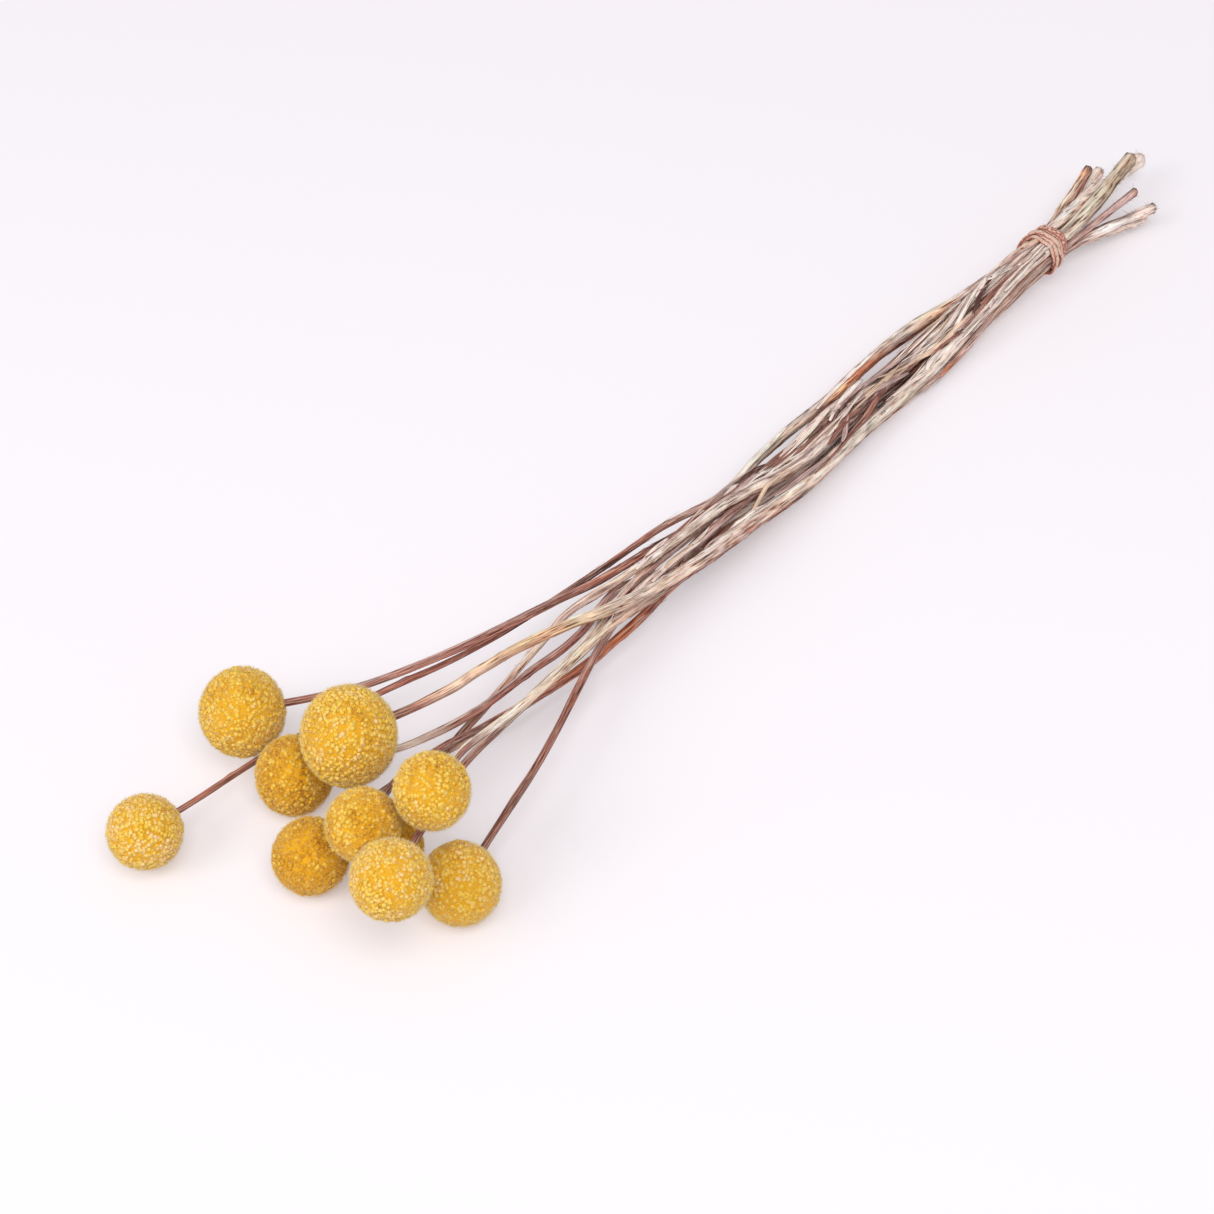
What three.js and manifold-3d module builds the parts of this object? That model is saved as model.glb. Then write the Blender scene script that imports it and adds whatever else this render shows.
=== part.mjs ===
// A tied bunch of dried billy buttons (Craspedia) lying on a table: ten cut stems, each with one
// ball-shaped flower head, held together near the cut ends by a rubber band that is wound round them.
//
// Millimetres, +Z up. The bunch runs along X, with the heads at -X and the cut ends at +X. The origin
// is under the middle of the bunch, at the height of the table.

import * as THREE from "three";
import { ConvexHull } from "three/addons/math/ConvexHull.js";
import { mergeVertices } from "three/addons/utils/BufferGeometryUtils.js";
import Module from "manifold-3d";

const wasm = await Module();
wasm.setup();

// ---------------------------------------------------------------- driving dimensions

const GAP = 0.3; // between two pieces that touch each other
const MIDDLE_X = 0; // where the stems start to lie together
const BUNDLE_X = 110; // where the bundle is loosest and rests on the table
const TIE = new THREE.Vector3(212, -0.4, 12.5); // centre of the rubber band

const FLORET_SPACING = 4.3; // between the tips of neighbouring florets
const FLORET_RELIEF = 1.3; // how far a floret stands out of the head
const RESTING_FLAT = 0.9; // how far a head that lies on the table is pressed flat
const SOCKET_DEPTH = 2.2; // how deep a stem sits in its head
const SOCKET_SIDES = 10;

const STEM_SIDES = 8;
const STATION_STEP = 8; // between the places where neighbouring stems are eased apart
const RING_STEP = 12.5; // between the rings of a stem's surface
const STEM_CLEARANCE = 0.4; // between two stems that lie side by side
const EASE_PASSES = 200;
const EASE_SMOOTHING = 0.25; // how much of its neighbours' shift each station takes on in a pass
const KNOT_SWELLING = 0.1; // a leaf scar is this much thicker than the stem
const KNOT_CHANCE = 0.3;
const CUT_SLANT = 0.45; // slope of the cut across a stem's foot

const BAND_TURNS = 5;
const BAND_HALF_WIDTH = 4.9; // the windings cover this length of stem on each side of the tie's centre
const BAND_STRAND = { width: 2.2, thickness: 0.9, sides: 6 };
const BAND_STEPS_PER_TURN = 16;
const BAND_SLACK = 0.15; // the straight steps of a winding cut this far inside its curve

// Each stem is listed from its head to its cut end. The route's points are [x, y, z] in millimetres.
// The radii are at the neck under the head, at MIDDLE_X, at BUNDLE_X, inside the tie and at the cut end.
const STEMS = [
  {
    head: { centre: [-198, 47.3, 13.5], radius: 11.8 },
    radii: [0.95, 1.1, 1.95, 1.6, 1.8],
    route: [
      [-176, 45.5, 12], [-151, 44.5, 9.5], [-134, 39.8, 11], [-112, 31.8, 15], [-91, 23.4, 17], [-67, 18, 17],
      [-45, 16, 16], [-17, 12.8, 16], [-4, 11.8, 16], [8, 10.2, 16], [21, 7.6, 15], [36, 7.1, 13],
      [50, 10.1, 11], [60, 11.4, 10], [80, 12.1, 9.5], [100, 12, 9], [140, 13.4, 9], [180, 8, 9.4],
      [204, 4.5, 12], [223, 4.5, 12],
    ],
    foot: [262, 13.2, 14],
    colour: 0x8a5a44,
  },
  {
    head: { centre: [-147.8, 55.1, 20], radius: 13.7 },
    radii: [1.2, 1.35, 1.5, 1.5, 1.8],
    route: [
      [-120, 35.5, 21], [-92, 22.9, 22], [-63, 14.2, 22], [-48, 10.6, 21.5], [-33, 7.4, 20], [-20, 5.7, 19],
      [-8, 4.8, 17.5], [5, 4, 15], [12, 3.9, 13.2], [30, 5, 9], [60, 7, 5], [90, 11, 4.8], [105, 14, 4.8],
      [120, 15.2, 5], [140, 14.5, 5], [160, 12.1, 5.2], [180, 7, 5.5], [204, 2.9, 8.8], [223, 2.9, 8.8],
    ],
    foot: [271, 13.5, 8],
    colour: 0x7a4a38,
  },
  {
    head: { centre: [-151.3, 30.1, 12.3 - RESTING_FLAT], radius: 12.3 },
    radii: [1.1, 1.35, 1.6, 1.35, 1.6],
    route: [
      [-125, 12, 14], [-115, 6.3, 16], [-96, 1.3, 17], [-76, 0.2, 17], [-55, -1.1, 16.5], [-42, 1.4, 15.5],
      [-32, 4.8, 13.5], [-22, 5.8, 11.5], [-10, 3, 9], [0, 0.8, 6.8], [10, 0.8, 6], [20, 1.8, 5.5],
      [30, 1.8, 5], [45, 1.6, 4.6], [60, 1.6, 4.3], [100, 2.8, 3.6], [120, 2.5, 2.6], [140, 1.2, 1.9],
      [160, 0.6, 2.5], [180, -1.1, 4.3], [204, -2.7, 7.8], [223, -2.7, 7.8],
    ],
    foot: [261, -13.4, 5],
    colour: 0x8c6a58,
  },
  {
    head: { centre: [-142.7, 13.3, 34], radius: 15.1 },
    radii: [1.4, 1.9, 2.35, 2.4, 2.7],
    route: [
      [-111, 5, 32], [-97, 3.8, 31], [-78, 2, 29], [-60, -1.7, 27], [-38, -7.4, 24], [-13, -10, 20],
      [17, -10.3, 16], [40, -9.8, 13], [66, -8.6, 10], [90, -6.4, 8.2], [140, -4.4, 7.6], [180, -2.6, 12.3],
      [204, -2.8, 16.1], [223, -2.8, 16.1],
    ],
    foot: [273, 2.3, 18],
    colour: 0xa89878,
  },
  {
    head: { centre: [-164, -12.4, 31], radius: 11.5 },
    radii: [1.1, 1.3, 1.5, 1.3, 1.4],
    route: [
      [-147, -7, 29], [-124, -4.5, 24], [-110, -5, 20], [-84, -6.4, 14.5], [-70, -8, 13], [-58, -8.8, 12],
      [-40, -8, 11], [-20, -7, 11], [-3, -1.8, 11], [14, 1.9, 10], [50, -1, 6.5], [100, 0.4, 7],
      [120, -0.3, 6.6], [140, -0.8, 6.6], [160, -1.4, 6.3], [180, 1, 5], [204, 0.3, 7.3], [223, 0.3, 7.3],
    ],
    foot: [256, 8.5, 4.5],
    colour: 0x96603f,
  },
  {
    head: { centre: [-171.4, 3.8, 12 - RESTING_FLAT], radius: 12 },
    radii: [1.1, 1.3, 1.7, 1.6, 1.8],
    route: [
      [-152, 5.6, 11.2], [-117, 2.8, 10], [-100, 0.2, 9], [-82, -2.6, 8], [-57, -5.1, 7.5], [-31, -5.2, 7.5],
      [-10, -4.2, 7.6], [0, -3.8, 7.8], [10, -3.6, 7.4], [20, -4, 6.8], [50, -4.2, 4.2], [100, 0, 1.8],
      [120, -0.9, 2], [140, -2.2, 2.6], [160, -2.8, 3.6], [180, -3.9, 7.2], [204, -5, 10.2], [223, -5, 10.2],
    ],
    foot: [264, -15.3, 9],
    colour: 0x8f7a66,
  },
  {
    head: { centre: [-175.3, -34.4, 33.5], radius: 12.4 },
    radii: [1.2, 1.4, 1.6, 1.5, 1.8],
    route: [
      [-157, -27.8, 31], [-141, -21.8, 29.5], [-125, -17.1, 28], [-108, -14.5, 26], [-95, -13, 25],
      [-80, -11.1, 24], [-60, -8.1, 22], [-47, -4.6, 20], [-27, 0.8, 17.5], [-5, 3, 15.5], [12, 3.9, 13.5],
      [30, 4, 12], [45, 3.9, 11], [70, 4.9, 10], [100, 5, 9.5], [140, 5.5, 8.9], [180, 5.9, 12],
      [204, 3.8, 15.3], [223, 3.8, 15.3],
    ],
    foot: [258, 7.5, 11],
    colour: 0xb09a7c,
  },
  {
    head: { centre: [-149.8, -27.8, 45], radius: 11.7 },
    radii: [1.15, 1.4, 1.25, 1.15, 1.5],
    route: [
      [-133, -22.2, 42], [-117, -20, 38], [-100, -18.2, 34], [-81, -15.8, 30], [-58, -11.6, 25],
      [-42, -8.6, 20.5], [-25, -7.4, 15.5], [-10, -7, 13], [0, -6.9, 11], [20, -7, 9], [35, -7, 7.5],
      [50, -7.6, 6], [65, -7.1, 4.8], [80, -5, 3.6], [105, -3, 1.6], [120, -4, 2.4], [140, -6, 3.8],
      [160, -5.4, 6], [180, -4.4, 9.6], [204, -5.4, 13.4], [223, -5.7, 13.4],
    ],
    foot: [262, -7.7, 14],
    colour: 0xb8a890,
  },
  {
    head: { centre: [-150.7, -38.3, 12.5 - RESTING_FLAT], radius: 12.5 },
    radii: [1.15, 1.3, 1.4, 1.3, 1.6],
    route: [
      [-124, -31.7, 13.5], [-100, -25.9, 15], [-78, -18.6, 16], [-60, -12.2, 17], [-47, -8.3, 17.5],
      [-27, -3, 17.3], [-13, -2.4, 16.5], [1, -2.4, 15.5], [16, -1.1, 14.3], [40, 1, 12], [70, 2.5, 10],
      [100, 5.7, 5], [140, 7.5, 5], [180, 1.9, 9.4], [204, -0.2, 12], [223, -0.2, 12],
    ],
    foot: [267, 4.9, 9],
    colour: 0x8a4e3a,
  },
  {
    head: { centre: [-152.7, -10.8, 10.9 - RESTING_FLAT], radius: 10.9 },
    radii: [1.1, 1.3, 2.0, 1.8, 2.2],
    route: [
      [-131, -3.3, 11], [-112, 1.3, 11.5], [-98, 3, 12], [-81, 5, 13], [-61, 7.3, 14.8], [-46, 7.9, 17],
      [-32, 4.7, 18.5], [-11, 1.9, 19], [12, 1.6, 18], [34, 0.5, 16.2], [54, -3.5, 14.5], [80, -2.5, 12.5],
      [100, -0.8, 11.3], [140, 1.8, 9.6], [180, 2.4, 13.6], [204, 0.9, 17.2], [223, 0.9, 17.2],
    ],
    foot: [284, 4.5, 10.5],
    colour: 0xb39c86,
  },
];

const HEAD_COLOUR = 0xd9a824;
const BAND_COLOUR = 0xa8604a;

// ---------------------------------------------------------------- helpers

// A small seeded generator, so that every build draws the same numbers.
function seededRandom(seed) {
  let state = seed;
  return () => {
    state = (Math.imul(state, 1664525) + 1013904223) >>> 0;
    return state / 2 ** 32;
  };
}

const positionsOnly = (geometry) => {
  geometry.deleteAttribute("normal");
  geometry.deleteAttribute("uv");
  return mergeVertices(geometry, 1e-4);
};

function toSolid(geometry) {
  const vertProperties = new Float32Array(geometry.attributes.position.array);
  const triVerts = new Uint32Array(geometry.index.array);
  return new wasm.Manifold(new wasm.Mesh({ numProp: 3, vertProperties, triVerts }));
}

function toGeometry(solid) {
  const mesh = solid.getMesh();
  const geometry = new THREE.BufferGeometry();
  geometry.setAttribute("position", new THREE.BufferAttribute(mesh.vertProperties, 3));
  geometry.setIndex(new THREE.BufferAttribute(mesh.triVerts, 1));
  return geometry;
}

function addPiece(group, name, geometry, colour, roughness) {
  const material = new THREE.MeshStandardMaterial({ color: colour, roughness, metalness: 0 });
  const mesh = new THREE.Mesh(geometry, material);
  mesh.name = name;
  group.add(mesh);
}

// A smooth curve through values given at increasing x, read at any x.
function curveOverX(xs, rows) {
  const width = rows[0].length;
  const result = new Float64Array(width);
  const interpolant = new THREE.CubicInterpolant(xs, rows.flat(), width, result);
  return (x) => Array.from(interpolant.evaluate(x));
}

// ---------------------------------------------------------------- stem routes

const vector = (point) => new THREE.Vector3(...point);

function planStem({ head, radii, route, foot }) {
  const centre = vector(head.centre);
  const outward = vector(route[0]).sub(centre).normalize();
  const seat = centre.clone().addScaledVector(outward, head.radius - SOCKET_DEPTH + GAP);
  const neck = centre.clone().addScaledVector(outward, head.radius + SOCKET_DEPTH);
  const points = [neck.toArray(), ...route, foot];
  const routeAt = curveOverX(points.map((p) => p[0]), points.map((p) => [p[1], p[2]]));
  const radiusAt = curveOverX([neck.x, MIDDLE_X, BUNDLE_X, TIE.x, foot[0]], radii.map((r) => [r]));
  const stations = [];
  const firstStation = Math.ceil((neck.x + STATION_STEP / 2) / STATION_STEP);
  const lastStation = Math.floor((foot[0] - STATION_STEP / 2) / STATION_STEP);
  for (let k = firstStation; k <= lastStation; k++) {
    const x = k * STATION_STEP;
    const [y, z] = routeAt(x);
    const planned = new THREE.Vector3(x, y, z);
    stations.push({ k, radius: radiusAt(x)[0], planned, point: planned.clone() });
  }
  return { centre, outward, seat, neck, foot: vector(foot), headRadius: head.radius, radiusAt, stations };
}

// Pushes the stems apart where they would run into each other, into another head or into the table,
// and spreads each shift along the stem, so that they lie against each other without touching.
function easeApart(plans) {
  const stationOf = (plan, k) => plan.stations[k - plan.stations[0].k];
  for (let pass = 0; pass < EASE_PASSES; pass++) {
    for (const plan of plans) {
      spreadShifts(plan);
      plan.stations.forEach((station) => clearHeads(plan, station, plans));
    }
    for (let i = 0; i < plans.length; i++) {
      for (let j = i + 1; j < plans.length; j++) {
        for (const station of plans[i].stations) {
          const other = stationOf(plans[j], station.k);
          if (other) clearEachOther(station, other);
        }
      }
    }
    for (const { stations } of plans) {
      for (const { point, radius } of stations) point.z = Math.max(point.z, radius * (1 + KNOT_SWELLING));
    }
  }
}

function spreadShifts({ stations }) {
  const shifts = stations.map(({ point, planned }) => point.clone().sub(planned));
  for (let i = 1; i < stations.length - 1; i++) {
    const between = shifts[i - 1].clone().add(shifts[i + 1]).multiplyScalar(0.5);
    stations[i].point.copy(shifts[i].lerp(between, EASE_SMOOTHING)).add(stations[i].planned);
  }
}

function clearEachOther(a, b) {
  const across = b.point.clone().sub(a.point);
  const distance = across.length();
  const wanted = a.radius + b.radius + STEM_CLEARANCE;
  if (distance >= wanted || distance === 0) return;
  across.multiplyScalar((wanted - distance) / distance / 2);
  a.point.sub(across);
  b.point.add(across);
}

function clearHeads(plan, station, plans) {
  for (const other of plans) {
    const wanted = other.headRadius + station.radius + STEM_CLEARANCE;
    const away = station.point.clone().sub(other.centre);
    if (other === plan || away.length() >= wanted) continue;
    const moved = other.centre.clone().add(away.setLength(wanted));
    station.point.y = moved.y;
    station.point.z = moved.z;
  }
}

// ---------------------------------------------------------------- pieces

// A stem is a closed cylinder bent along its route, thin at the neck and thick at the foot, with a
// swelling at each leaf scar and a slanted cut at the foot.
function makeStem(plan, random) {
  const { seat, neck, foot, stations, radiusAt } = plan;
  const route = new THREE.CatmullRomCurve3(
    [seat, neck, ...stations.map((station) => station.point), foot], false, "centripetal");
  const rings = Math.round(route.getLength() / RING_STEP);
  const frames = route.computeFrenetFrames(rings, false);
  const swelling = Array.from({ length: rings + 1 }, (_, ring) => {
    const insideTie = Math.abs(route.getPointAt(ring / rings).x - TIE.x) < RING_STEP;
    const knotted = random() < KNOT_CHANCE && ring > 1 && ring < rings && !insideTie;
    return knotted ? 1 + KNOT_SWELLING : 1;
  });
  const geometry = positionsOnly(new THREE.CylinderGeometry(1, 1, 1, STEM_SIDES, rings));
  const position = geometry.attributes.position;
  const vertex = new THREE.Vector3();
  for (let i = 0; i < position.count; i++) {
    vertex.fromBufferAttribute(position, i);
    const along = vertex.y + 0.5;
    const ring = Math.round(along * rings);
    const centre = route.getPointAt(along);
    const radius = radiusAt(Math.max(centre.x, neck.x))[0] * swelling[ring];
    const cut = ring === rings ? CUT_SLANT * radius * vertex.x : 0;
    centre.addScaledVector(frames.normals[ring], radius * vertex.x);
    centre.addScaledVector(frames.binormals[ring], radius * vertex.z);
    centre.addScaledVector(frames.tangents[ring], cut);
    position.setXYZ(i, centre.x, centre.y, centre.z);
  }
  return outwardFacing(geometry);
}

// Turns a closed geometry's triangles over where they face inwards.
function outwardFacing(geometry) {
  const index = geometry.index.array;
  const corner = (i) => new THREE.Vector3().fromBufferAttribute(geometry.attributes.position, index[i]);
  let volume = 0;
  for (let i = 0; i < index.length; i += 3) {
    volume += corner(i).dot(corner(i + 1).cross(corner(i + 2))) / 6;
  }
  if (volume < 0) index.reverse();
  return geometry;
}

// Points spread evenly over a unit sphere, along a spiral from pole to pole.
function spherePoints(count) {
  const goldenAngle = Math.PI * (3 - Math.sqrt(5));
  return Array.from({ length: count }, (_, i) => {
    const height = 1 - (2 * i + 1) / count;
    const ring = Math.sqrt(1 - height * height);
    return new THREE.Vector3(ring * Math.cos(goldenAngle * i), ring * Math.sin(goldenAngle * i), height);
  });
}

// The florets' tips are joined to the low points between every three neighbouring tips, which makes
// each floret a low pyramid that stands out of the ball.
function floretBall(radius) {
  const count = Math.round((4 * Math.PI * radius ** 2) / (FLORET_SPACING ** 2 * Math.sin(Math.PI / 3)));
  const tips = spherePoints(count);
  const hull = new ConvexHull().setFromPoints(tips);
  const vertices = tips.map((tip) => tip.clone().multiplyScalar(radius));
  const tipIndex = new Map(tips.map((tip, i) => [tip, i]));
  const lowPoint = new Map();
  for (const face of hull.faces) {
    const low = face.midpoint.clone().setLength(radius - FLORET_RELIEF);
    lowPoint.set(face, vertices.push(low) - 1);
  }
  const triangles = [];
  for (const face of hull.faces) {
    let edge = face.edge;
    do {
      const tip = tipIndex.get(edge.head().point);
      triangles.push(tip, lowPoint.get(face), lowPoint.get(edge.twin.face));
      edge = edge.next;
    } while (edge !== face.edge);
  }
  const geometry = new THREE.BufferGeometry().setFromPoints(vertices);
  geometry.setIndex(triangles);
  return outwardFacing(geometry);
}

// A head is a ball covered with florets, with a socket for its stem, and flat where it rests.
function makeHead(plan, neckRadius) {
  const { centre, outward, headRadius } = plan;
  const turn = new THREE.Quaternion().setFromUnitVectors(new THREE.Vector3(0, 0, 1), outward);
  const ball = floretBall(headRadius).applyQuaternion(turn).translate(...centre);

  const socketRadius = neckRadius + GAP + 0.1;
  const socket = new THREE.CylinderGeometry(socketRadius, socketRadius, 2 * SOCKET_DEPTH, SOCKET_SIDES);
  socket.rotateX(Math.PI / 2).applyQuaternion(turn);
  socket.translate(...centre.clone().addScaledVector(outward, headRadius));

  const table = new THREE.BoxGeometry(4 * headRadius, 4 * headRadius, headRadius);
  table.translate(centre.x, centre.y, -headRadius / 2);

  const removed = toSolid(positionsOnly(socket)).add(toSolid(positionsOnly(table)));
  return toGeometry(toSolid(ball).subtract(removed));
}

// How far the bundle of stems reaches from the tie's centre in the direction of an angle, as a string
// pulled tight round the stems would: the smallest of the lines that touch the bundle from outside.
function bundleReach(plans) {
  const circles = plans.flatMap((plan) => plan.stations
    .filter(({ point }) => Math.abs(point.x - TIE.x) < BAND_HALF_WIDTH + BAND_STRAND.width + 1)
    .map(({ point, radius }) => ({ y: point.y - TIE.y, z: point.z - TIE.z, radius })));
  const directions = 90;
  const support = Array.from({ length: directions }, (_, i) => {
    const angle = (2 * Math.PI * i) / directions;
    return Math.max(...circles.map((c) => c.y * Math.cos(angle) + c.z * Math.sin(angle) + c.radius));
  });
  return (angle) => Math.min(...support.map((height, i) => {
    const turned = Math.cos(angle - (2 * Math.PI * i) / directions);
    return turned > 0.2 ? height / turned : Infinity;
  }));
}

// The rubber band is one closed loop, wound several times round the stems. It winds out along them
// in a lower layer and comes back over itself in an upper one.
function makeBand(plans) {
  const { width, thickness, sides } = BAND_STRAND;
  const reach = bundleReach(plans);
  const steps = BAND_TURNS * BAND_STEPS_PER_TURN;
  const layerStep = thickness + GAP;
  const centreAt = (step) => {
    const phase = (2 * Math.PI * step) / steps;
    const angle = BAND_TURNS * phase;
    const layer = THREE.MathUtils.smoothstep(-Math.sin(phase), -0.6, 0.6);
    const distance = reach(angle) + GAP + BAND_SLACK + thickness / 2 + layer * layerStep;
    return new THREE.Vector3(TIE.x + BAND_HALF_WIDTH * Math.cos(phase),
      TIE.y + distance * Math.cos(angle), TIE.z + distance * Math.sin(angle));
  };
  const vertices = [];
  for (let step = 0; step < steps; step++) {
    const centre = centreAt(step);
    const along = centreAt(step + 1).sub(centreAt(step - 1)).normalize();
    const angle = (2 * Math.PI * BAND_TURNS * step) / steps;
    const outward = new THREE.Vector3(0, Math.cos(angle), Math.sin(angle));
    const sideways = along.clone().cross(outward).normalize();
    for (let side = 0; side < sides; side++) {
      const around = (2 * Math.PI * side) / sides;
      vertices.push(centre.clone()
        .addScaledVector(sideways, (width / 2) * Math.cos(around))
        .addScaledVector(outward, (thickness / 2) * Math.sin(around)));
    }
  }
  const triangles = [];
  const at = (step, side) => (step % steps) * sides + (side % sides);
  for (let step = 0; step < steps; step++) {
    for (let side = 0; side < sides; side++) {
      triangles.push(at(step, side), at(step + 1, side), at(step + 1, side + 1));
      triangles.push(at(step, side), at(step + 1, side + 1), at(step, side + 1));
    }
  }
  const geometry = new THREE.BufferGeometry().setFromPoints(vertices);
  geometry.setIndex(triangles);
  return outwardFacing(geometry);
}

// ---------------------------------------------------------------- the bunch

const group = new THREE.Group();
const random = seededRandom(7);
const plans = STEMS.map(planStem);
easeApart(plans);

plans.forEach((plan, i) => {
  const number = String(i + 1).padStart(2, "0");
  const { radii, colour } = STEMS[i];
  addPiece(group, `head_${number}`, makeHead(plan, radii[0]), HEAD_COLOUR, 0.95);
  addPiece(group, `stem_${number}`, makeStem(plan, random), colour, 0.9);
});
addPiece(group, "rubber_band", makeBand(plans), BAND_COLOUR, 0.6);

const bounds = new THREE.Box3().setFromObject(group);
const middle = bounds.getCenter(new THREE.Vector3());
group.position.set(-middle.x, -middle.y, -bounds.min.z);
group.updateMatrixWorld(true);

export default group;
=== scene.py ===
# %% [markdown]
# # A tied bunch of dried billy buttons
# Ten thin stems lie on a table. Each ends in a yellow ball of tiny florets, and a rubber band ties them
# near their cut ends. Plain solids of all the pieces are loaded first, and each one is then replaced by a
# finer piece in the same place. Lengths are written in millimetres, as a florist would measure them, and
# `MM` turns them into Blender's metres.

# %% Open the frame
import itertools
import math

import bpy
import numpy as np
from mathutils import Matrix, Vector


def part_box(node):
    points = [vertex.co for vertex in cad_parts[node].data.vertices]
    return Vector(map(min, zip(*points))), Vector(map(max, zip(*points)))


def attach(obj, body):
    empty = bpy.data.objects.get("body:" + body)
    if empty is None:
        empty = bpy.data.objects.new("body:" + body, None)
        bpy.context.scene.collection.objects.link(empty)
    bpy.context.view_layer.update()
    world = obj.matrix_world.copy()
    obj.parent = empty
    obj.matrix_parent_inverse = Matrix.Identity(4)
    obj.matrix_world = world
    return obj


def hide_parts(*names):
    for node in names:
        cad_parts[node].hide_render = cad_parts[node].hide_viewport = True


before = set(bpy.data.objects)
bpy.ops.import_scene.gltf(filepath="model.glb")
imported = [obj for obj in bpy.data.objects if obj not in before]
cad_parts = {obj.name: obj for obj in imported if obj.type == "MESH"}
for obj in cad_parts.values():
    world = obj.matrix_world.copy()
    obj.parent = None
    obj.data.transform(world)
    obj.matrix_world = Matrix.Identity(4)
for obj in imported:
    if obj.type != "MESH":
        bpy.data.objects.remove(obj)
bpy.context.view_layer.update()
MM = 0.001
UP = np.array((0.0, 0.0, 1.0))
FULL_TURN = 2 * math.pi

# %% [markdown]
# ## Camera
# The bunch lies away from the camera, with its heads at the near left and its cut ends at the far right. A
# short lens close by would swell the near balls, so a long lens looks from nearly a metre away, at 45
# degrees above the table. It keeps the balls round and the far stems large.

# %% Camera
CAMERA_PLACE = Vector((-599.4, -450.7, 702.9)) * MM
CAMERA_TARGET = Vector((-61.7, 2.0, 0.0)) * MM
LENS = 88.96

camera_data = bpy.data.cameras.new("camera")
camera_data.lens = LENS
camera = bpy.data.objects.new("camera", camera_data)
camera.location = CAMERA_PLACE
camera.rotation_euler = (CAMERA_TARGET - CAMERA_PLACE).to_track_quat("-Z", "Y").to_euler()
bpy.context.collection.objects.link(camera)
bpy.context.scene.camera = camera
bpy.context.scene.view_settings.view_transform = "Standard"
print("the camera is", round((CAMERA_TARGET - CAMERA_PLACE).length / MM), "mm from the middle of the view")

# %% [markdown]
# ## Shader maths
# A finish that changes over a surface is a sum of small nodes. They could be wired up one by one, but a sum
# of ten nodes then fills a page. Wrapping a socket in a class with `+`, `-` and `*` lets the sum be written
# as one line of Python, and a single `node` method adds any other kind of node.

# %% Shader maths
MIX_COLOURS = (6, 7)  # a Mix node's two colour inputs
MIX_RESULT = 2  # and its colour output


class Tone:
    """One socket of a shader tree. Sums and products of tones add Math nodes to the tree."""

    def __init__(self, tree, socket=None):
        self.tree = tree
        self.socket = socket

    def node(self, kind, settings, inputs, output=0):
        """Adds a node, sets its settings and then its inputs, and returns one of its outputs."""
        made = self.tree.nodes.new(kind)
        for name, value in settings.items():
            setattr(made, name, value)
        for key, value in inputs.items():
            if isinstance(value, Tone):
                self.tree.links.new(value.socket, made.inputs[key])
            else:
                made.inputs[key].default_value = value
        return Tone(self.tree, made.outputs[output])

    def math(self, operation, first, second):
        """Adds a Math node that takes two tones or numbers."""
        return self.node("ShaderNodeMath", {"operation": operation}, {0: first, 1: second})

    def __add__(self, other):
        return self.math("ADD", self, other)

    def __radd__(self, other):
        return self.math("ADD", other, self)

    def __sub__(self, other):
        return self.math("SUBTRACT", self, other)

    def __rsub__(self, other):
        return self.math("SUBTRACT", other, self)

    def __mul__(self, other):
        return self.math("MULTIPLY", self, other)

    def __rmul__(self, other):
        return self.math("MULTIPLY", other, self)

    def rise(self, start, end):
        """Climbs smoothly from 0 to 1 while this value goes from start to end."""
        settings = {"interpolation_type": "SMOOTHSTEP"}
        inputs = {"Value": self, "From Min": start, "From Max": end}
        return self.node("ShaderNodeMapRange", settings, inputs)

    def mix(self, one, other, blend="MIX"):
        """Blends two colours, with this value as the share of the second."""
        settings = {"data_type": "RGBA", "blend_type": blend}
        inputs = {0: self, MIX_COLOURS[0]: one, MIX_COLOURS[1]: other}
        return self.node("ShaderNodeMix", settings, inputs, MIX_RESULT)

    def carried(self, name, output="Fac"):
        """What the points of a mesh carry under this name."""
        return self.node("ShaderNodeAttribute", {"attribute_name": name}, {}, output)

    def stretched(self, steps):
        """This place multiplied axis by axis, which draws out any noise that is laid on it."""
        return self.node("ShaderNodeVectorMath", {"operation": "MULTIPLY"}, {0: self, 1: steps}, "Vector")

    def noise(self, scale, detail):
        """Cloudy random values from 0 to 1 at this place."""
        inputs = {"Vector": self, "Scale": scale, "Detail": detail}
        return self.node("ShaderNodeTexNoise", {}, inputs, "Fac")

    def bump(self, strength, height):
        """Tilts the light as if this value were a relief of the given height in metres."""
        inputs = {"Strength": strength, "Distance": height, "Height": self}
        return self.node("ShaderNodeBump", {}, inputs, "Normal")


print("Tone has", sum(callable(part) for part in vars(Tone).values()), "methods")

# %% [markdown]
# ## Colours and materials
# Paint charts number a colour from 0 to 255, with most of the steps for dark shades, but Blender reckons
# with amounts of light. Its colour picker can translate them one by one. A function does it for all of
# them, and keeps the chart's own numbers in the script. A second function starts each finish with a rough
# or a smooth surface.


# %% Colours and materials
def srgb(red, green, blue):
    """A colour as a paint chart gives it, from 0 to 255, turned into the light that Blender works in."""
    share = np.array((red, green, blue)) / 255
    light = np.where(share > 0.04045, ((share + 0.055) / 1.055) ** 2.4, share / 12.92)
    return (*light.tolist(), 1.0)


def new_finish(name, roughness):
    """A new material: returns it with an empty tone of its tree and its main shader."""
    material = bpy.data.materials.new(name)
    material.use_nodes = True
    shader = material.node_tree.nodes["Principled BSDF"]
    shader.inputs["Roughness"].default_value = roughness
    return material, Tone(material.node_tree), shader


def link_finish(tone, shader, socket):
    """Feeds a tone into one of the main shader's sockets."""
    tone.tree.links.new(tone.socket, shader.inputs[socket])


print("mid grey paint reflects", round(srgb(128, 128, 128)[0], 2), "of the light")

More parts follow.
